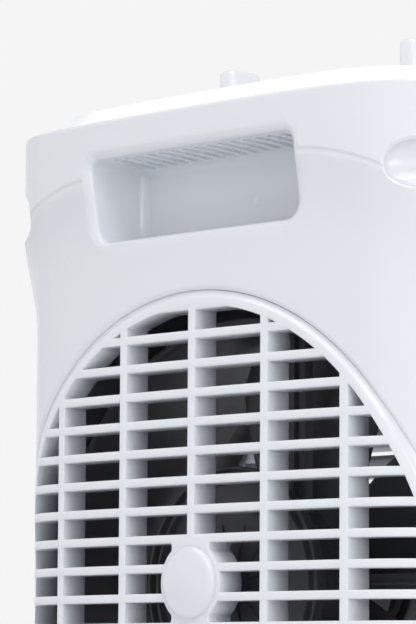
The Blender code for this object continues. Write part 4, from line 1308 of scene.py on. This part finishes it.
def build_outlet_bracket():
    """A bar across the outlet with a hub, a seat for the gear motor, its bore and two screw holes."""
    low, high, reach = round_box("outlet_bracket")
    reach -= 0.0003
    bar = block("bar", (-reach, low.y, HUB_Z - 0.007), (reach, high.y, HUB_Z + 0.007), 0.0012)
    boolean(bar, [lathe("hub", rounded(rod(0.029, low.y, high.y), 0.0014), 96)], "UNION")
    bores = [lathe("seat", rod(0.0248, low.y + 0.0025, 0), 72)]
    bores.append(lathe("bore", rod(0.006, low.y - 0.01, 0), 48))
    for i in (1, 2):
        x = centre_of(f"bracket_screw_{i}")[0]
        bores.append(lathe("hole", rod(0.0016, -0.01, 0.02), 24, y=low.y, x=x))
    boolean(bar, bores, "DIFFERENCE")
    show(cleaned(bar), "outlet_bridge", "outlet_bracket", DARK)


# ---------------------------------------------------------------- impeller


BLADES = 5
BLADE_TIP = 0.1388
BLADE_ROOT = 0.0294
BLADE_MIDDLE = -0.028
BLADE_HALF_THICKNESS = 0.0011
ROOT_PITCH = 36
TIP_PITCH = 20
HUB_RADIUS = 0.031
HUB_FRONT = -0.046
HUB_BACK = -0.010
HUB_BORE = 0.0043


def blade_sheet(turn):
    """One twisted blade as a closed skin, thin and rounded at its edges."""
    rows = 25
    columns = 17
    u = np.linspace(0, 1, rows)[:, None]
    v = np.sin(np.linspace(-pi / 2, pi / 2, columns))[None, :]
    radius = BLADE_ROOT + (BLADE_TIP - BLADE_ROOT) * u
    pitch = np.radians(ROOT_PITCH - (ROOT_PITCH - TIP_PITCH) * u)
    half = 0.017 + 0.034 * u**0.8
    half = half * (1 - 0.10 * smoothstep(u, 0.9, 1.0))
    angle = turn + v * half * np.cos(pitch) / radius + 0.25 * u
    y = BLADE_MIDDLE - v * half * np.sin(pitch) * 0.98 + 0.004 * (1 - v * v)
    mid = np.stack([radius * np.cos(angle), y, radius * np.sin(angle)], -1)
    along = np.gradient(mid, axis=0)
    across = np.gradient(mid, axis=1)
    normal = np.cross(along, across)
    normal /= np.linalg.norm(normal, axis=-1, keepdims=True)
    thick = BLADE_HALF_THICKNESS * np.sqrt(np.clip(1 - v**4, 0, 1)) * np.sqrt(np.clip(1 - u**14, 0, 1))
    front = mid + normal * thick[..., None]
    back = mid - normal * thick[..., None]
    points = []
    index = {}
    for k, side in enumerate((front, back)):
        for i in range(rows):
            for j in range(columns):
                index[k, i, j] = len(points)
                points.append(side[i, j] + np.array([0, 0, HUB_Z]))
    faces = []
    for i in range(rows - 1):
        for j in range(columns - 1):
            a = [(i, j), (i, j + 1), (i + 1, j + 1), (i + 1, j)]
            faces.append(tuple(index[(0, *p)] for p in a))
            faces.append(tuple(index[(1, *p)] for p in reversed(a)))
    for j in range(columns - 1):
        faces.append((index[0, 0, j], index[1, 0, j], index[1, 0, j + 1], index[0, 0, j + 1]))
    return mesh_piece("blade", points, faces)


def build_impeller():
    """A hub cup with blades and inner ribs, and the nut that holds it."""
    inside = HUB_RADIUS - 0.0025
    floor = HUB_FRONT + 0.0025
    sleeve = 0.009
    profile = [(HUB_BORE, HUB_FRONT), (HUB_RADIUS - 0.003, HUB_FRONT), (HUB_RADIUS, HUB_FRONT + 0.003)]
    profile += [(HUB_RADIUS, HUB_BACK), (inside, HUB_BACK), (inside, floor)]
    profile += [(sleeve, floor), (sleeve, HUB_BACK - 0.003), (HUB_BORE, HUB_BACK - 0.003)]
    pieces = [lathe("hub", rounded(profile + profile[:1], 0.0014)[:-1], 96)]
    pieces += [blade_sheet(i * 2 * pi / BLADES) for i in range(BLADES)]
    rib_end = (HUB_RADIUS - 0.002, HUB_BACK - 0.012, 0.0008)
    pieces += spokes(2 * BLADES, (0.0085, HUB_FRONT + 0.002, -0.0008), rib_end, 0.0004)
    show(joined("impeller", pieces), "impeller_blades", "fan_blade", BLADE, crisp=45)
    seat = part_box("blade_nut")[1].y
    profile = [(0, 0), (0.0105, 0), (0.0105, 0.002), (0.0085, 0.0065), (0.005, 0.0085), (0, 0.0085)]
    nut = lathe("nut", rounded(profile, 0.0010), 64, y=seat, facing=-1)
    grips = []
    for x, z in circle(0.0108, 12):
        grips.append(lathe("grip", rod(0.0008, -0.01, 0.0030), 12, y=seat, facing=-1, x=x, z=HUB_Z + z))
    boolean(nut, [joined("grips", grips)], "DIFFERENCE")
    bore_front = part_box("motor_shaft")[0].y - FIT_GAP
    boolean(nut, [lathe("bore", rod(HUB_BORE, bore_front, 0.02), 32)], "DIFFERENCE")
    show(cleaned(nut), "impeller_nut", "blade_nut", BLADE)


# ---------------------------------------------------------------- feet, screws and cord bush


def build_feet():
    """Round pads with two fine rings in the tread."""
    for node in ("foot_front_left", "foot_front_right", "foot_back_left", "foot_back_right"):
        low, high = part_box(node)
        x, y, _ = centre_of(node)
        tall = high.z - low.z
        profile = [(0, 0), (0.0102, 0), (0.0114, 0.0012), (0.0134, tall - 0.002), (0.0134, tall), (0, tall)]
        foot = lathe("foot", rounded(profile, 0.0009), 64, upright=True, x=x, y=y, z=low.z)
        grooves = []
        for inner, outer in ((0.0032, 0.0043), (0.0062, 0.0073)):
            ring = [(inner, -0.001), (outer, -0.001), (outer, 0.0006), (inner, 0.0006)]
            grooves.append(lathe("tread", ring, 48, upright=True, x=x, y=y, z=low.z))
        boolean(foot, [joined("treads", grooves)], "DIFFERENCE")
        show(cleaned(foot), node + "_pad", node, RUBBER)


def build_case_screws():
    """Long screws with a cross recess in the head."""
    for i in range(1, 5):
        node = f"case_screw_{i}"
        low, high, head = round_box(node)
        x, _, z = centre_of(node)
        seat = high.y - 0.0025
        profile = [(0, low.y), (0.0012, low.y), (0.0019, low.y + 0.003), (0.0019, seat), (head, seat)]
        profile += [(head, seat + 0.0013), (head * 0.8, high.y), (0, high.y)]
        body = lathe("screw", rounded(profile, 0.0005), 48, x=x, z=z)
        for wide, tall in ((0.0026, 0.0005), (0.0005, 0.0026)):
            slot_high = (x + wide, high.y + 0.001, z + tall)
            slot = block("slot", (x - wide, high.y - 0.0011, z - tall), slot_high, 0.0002, 2)
            boolean(body, [slot], "DIFFERENCE")
        show(cleaned(body), f"casing_screw_{i}", node, STEEL)


def build_cord_bush():
    """A soft bush with a flared mouth for the mains cord."""
    low, high, outer = round_box("cord_inlet")
    x, _, z = centre_of("cord_inlet")
    bore = 0.0035
    profile = [(bore, low.y), (outer, low.y), (outer, high.y - 0.0018), (outer - 0.0013, high.y)]
    profile += [(0.0040, high.y), (bore, high.y - 0.0010), (bore, low.y)]
    bush = lathe("bush", rounded(profile, 0.0006)[:-1], 64, x=x, z=z)
    show(bush, "cord_bush", "cord_inlet", RUBBER)


# ---------------------------------------------------------------- camera, light and floor


def build_camera():
    """A long lens behind the fan and lower than its hub, looking up a little at the -X rear corner."""
    turn = radians(44.8)
    rise = radians(6.46)
    roll = radians(-0.26)
    level = Vector((sin(turn), -cos(turn), 0))
    right = Vector((-cos(turn), -sin(turn), 0))
    ahead = level * cos(rise) + Vector((0, 0, sin(rise)))
    up = Vector((0, 0, cos(rise))) - level * sin(rise)
    image_right = right * cos(roll) - up * sin(roll)
    image_up = right * sin(roll) + up * cos(roll)
    camera = bpy.data.objects.new("camera", bpy.data.cameras.new("camera"))
    camera.data.lens = 187.3
    camera.data.sensor_width = 36.0
    camera.data.clip_end = 50.0
    rotation = Matrix((image_right, image_up, -ahead)).transposed()
    camera.matrix_world = Matrix.Translation((-1.2570, 1.3405, 0.1395)) @ rotation.to_4x4()
    scene.collection.objects.link(camera)
    scene.camera = camera


def area_light(name, place, target, size, power):
    """A rectangular light aimed at a target."""
    light = bpy.data.lights.new(name, "AREA")
    light.shape = "RECTANGLE"
    light.size, light.size_y = size
    light.energy = power
    obj = bpy.data.objects.new(name, light)
    obj.location = place
    obj.rotation_euler = (Vector(target) - Vector(place)).to_track_quat("-Z", "Y").to_euler()
    scene.collection.objects.link(obj)


def build_world():
    """Pale surroundings: brightest just above the horizon, darker overhead and below."""
    world = bpy.data.worlds.new("studio")
    world.use_nodes = True
    scene.world = world
    nodes = world.node_tree.nodes
    link = world.node_tree.links.new
    where = nodes.new("ShaderNodeTexCoord")
    split = nodes.new("ShaderNodeSeparateXYZ")
    link(where.outputs["Generated"], split.inputs["Vector"])
    ramp = nodes.new("ShaderNodeValToRGB")
    shift = nodes.new("ShaderNodeMapRange")
    shift.inputs["From Min"].default_value = -1
    shift.inputs["From Max"].default_value = 1
    link(split.outputs["Z"], shift.inputs["Value"])
    link(shift.outputs["Result"], ramp.inputs["Fac"])
    ramp.color_ramp.elements[0].position = 0.0
    ramp.color_ramp.elements[0].color = (0.62, 0.63, 0.66, 1)
    ramp.color_ramp.elements[1].position = 1.0
    ramp.color_ramp.elements[1].color = (0.45, 0.45, 0.46, 1)
    for position, value in ((0.46, 0.80), (0.495, 0.913), (0.62, 0.913), (0.70, 0.55)):
        element = ramp.color_ramp.elements.new(position)
        element.color = (value, value, value, 1)
    link(ramp.outputs["Color"], nodes["Background"].inputs["Color"])
    nodes["Background"].inputs["Strength"].default_value = 1.0


def build_floor():
    """A wide pale floor."""
    bm = bmesh.new()
    bmesh.ops.create_grid(bm, x_segments=24, y_segments=24, size=6)
    floor = from_bmesh("floor", bm)
    paper = plastic("floor_paper", (0.86, 0.86, 0.865), 0.75, variation=0.01, grain=0.02, grain_scale=300.0)
    floor.data.materials.append(paper)


scene.view_settings.view_transform = "Standard"
scene.view_settings.look = "None"
build_camera()
build_world()
area_light("key", (-1.3, 1.1, 1.9), (0, 0.05, 0.35), (1.0, 0.8), 11.0)
area_light("overhead", (0.1, 0.3, 2.2), (0, 0, 0.4), (1.6, 1.6), 18.5)
area_light("side", (-1.9, 0.8, 0.60), (0, 0.05, 0.26), (1.0, 0.5), 6.0)
build_floor()
build_rear_shell()
build_grille()
build_hub_cap()
build_lid()
build_knob("speed_knob")
build_knob("timer_knob")
build_front_shell()
build_louvre()
build_louvre_cap()
build_shroud()
build_motor_case()
build_motor_bracket()
build_outlet_bracket()
build_impeller()
build_feet()
build_case_screws()
build_cord_bush()
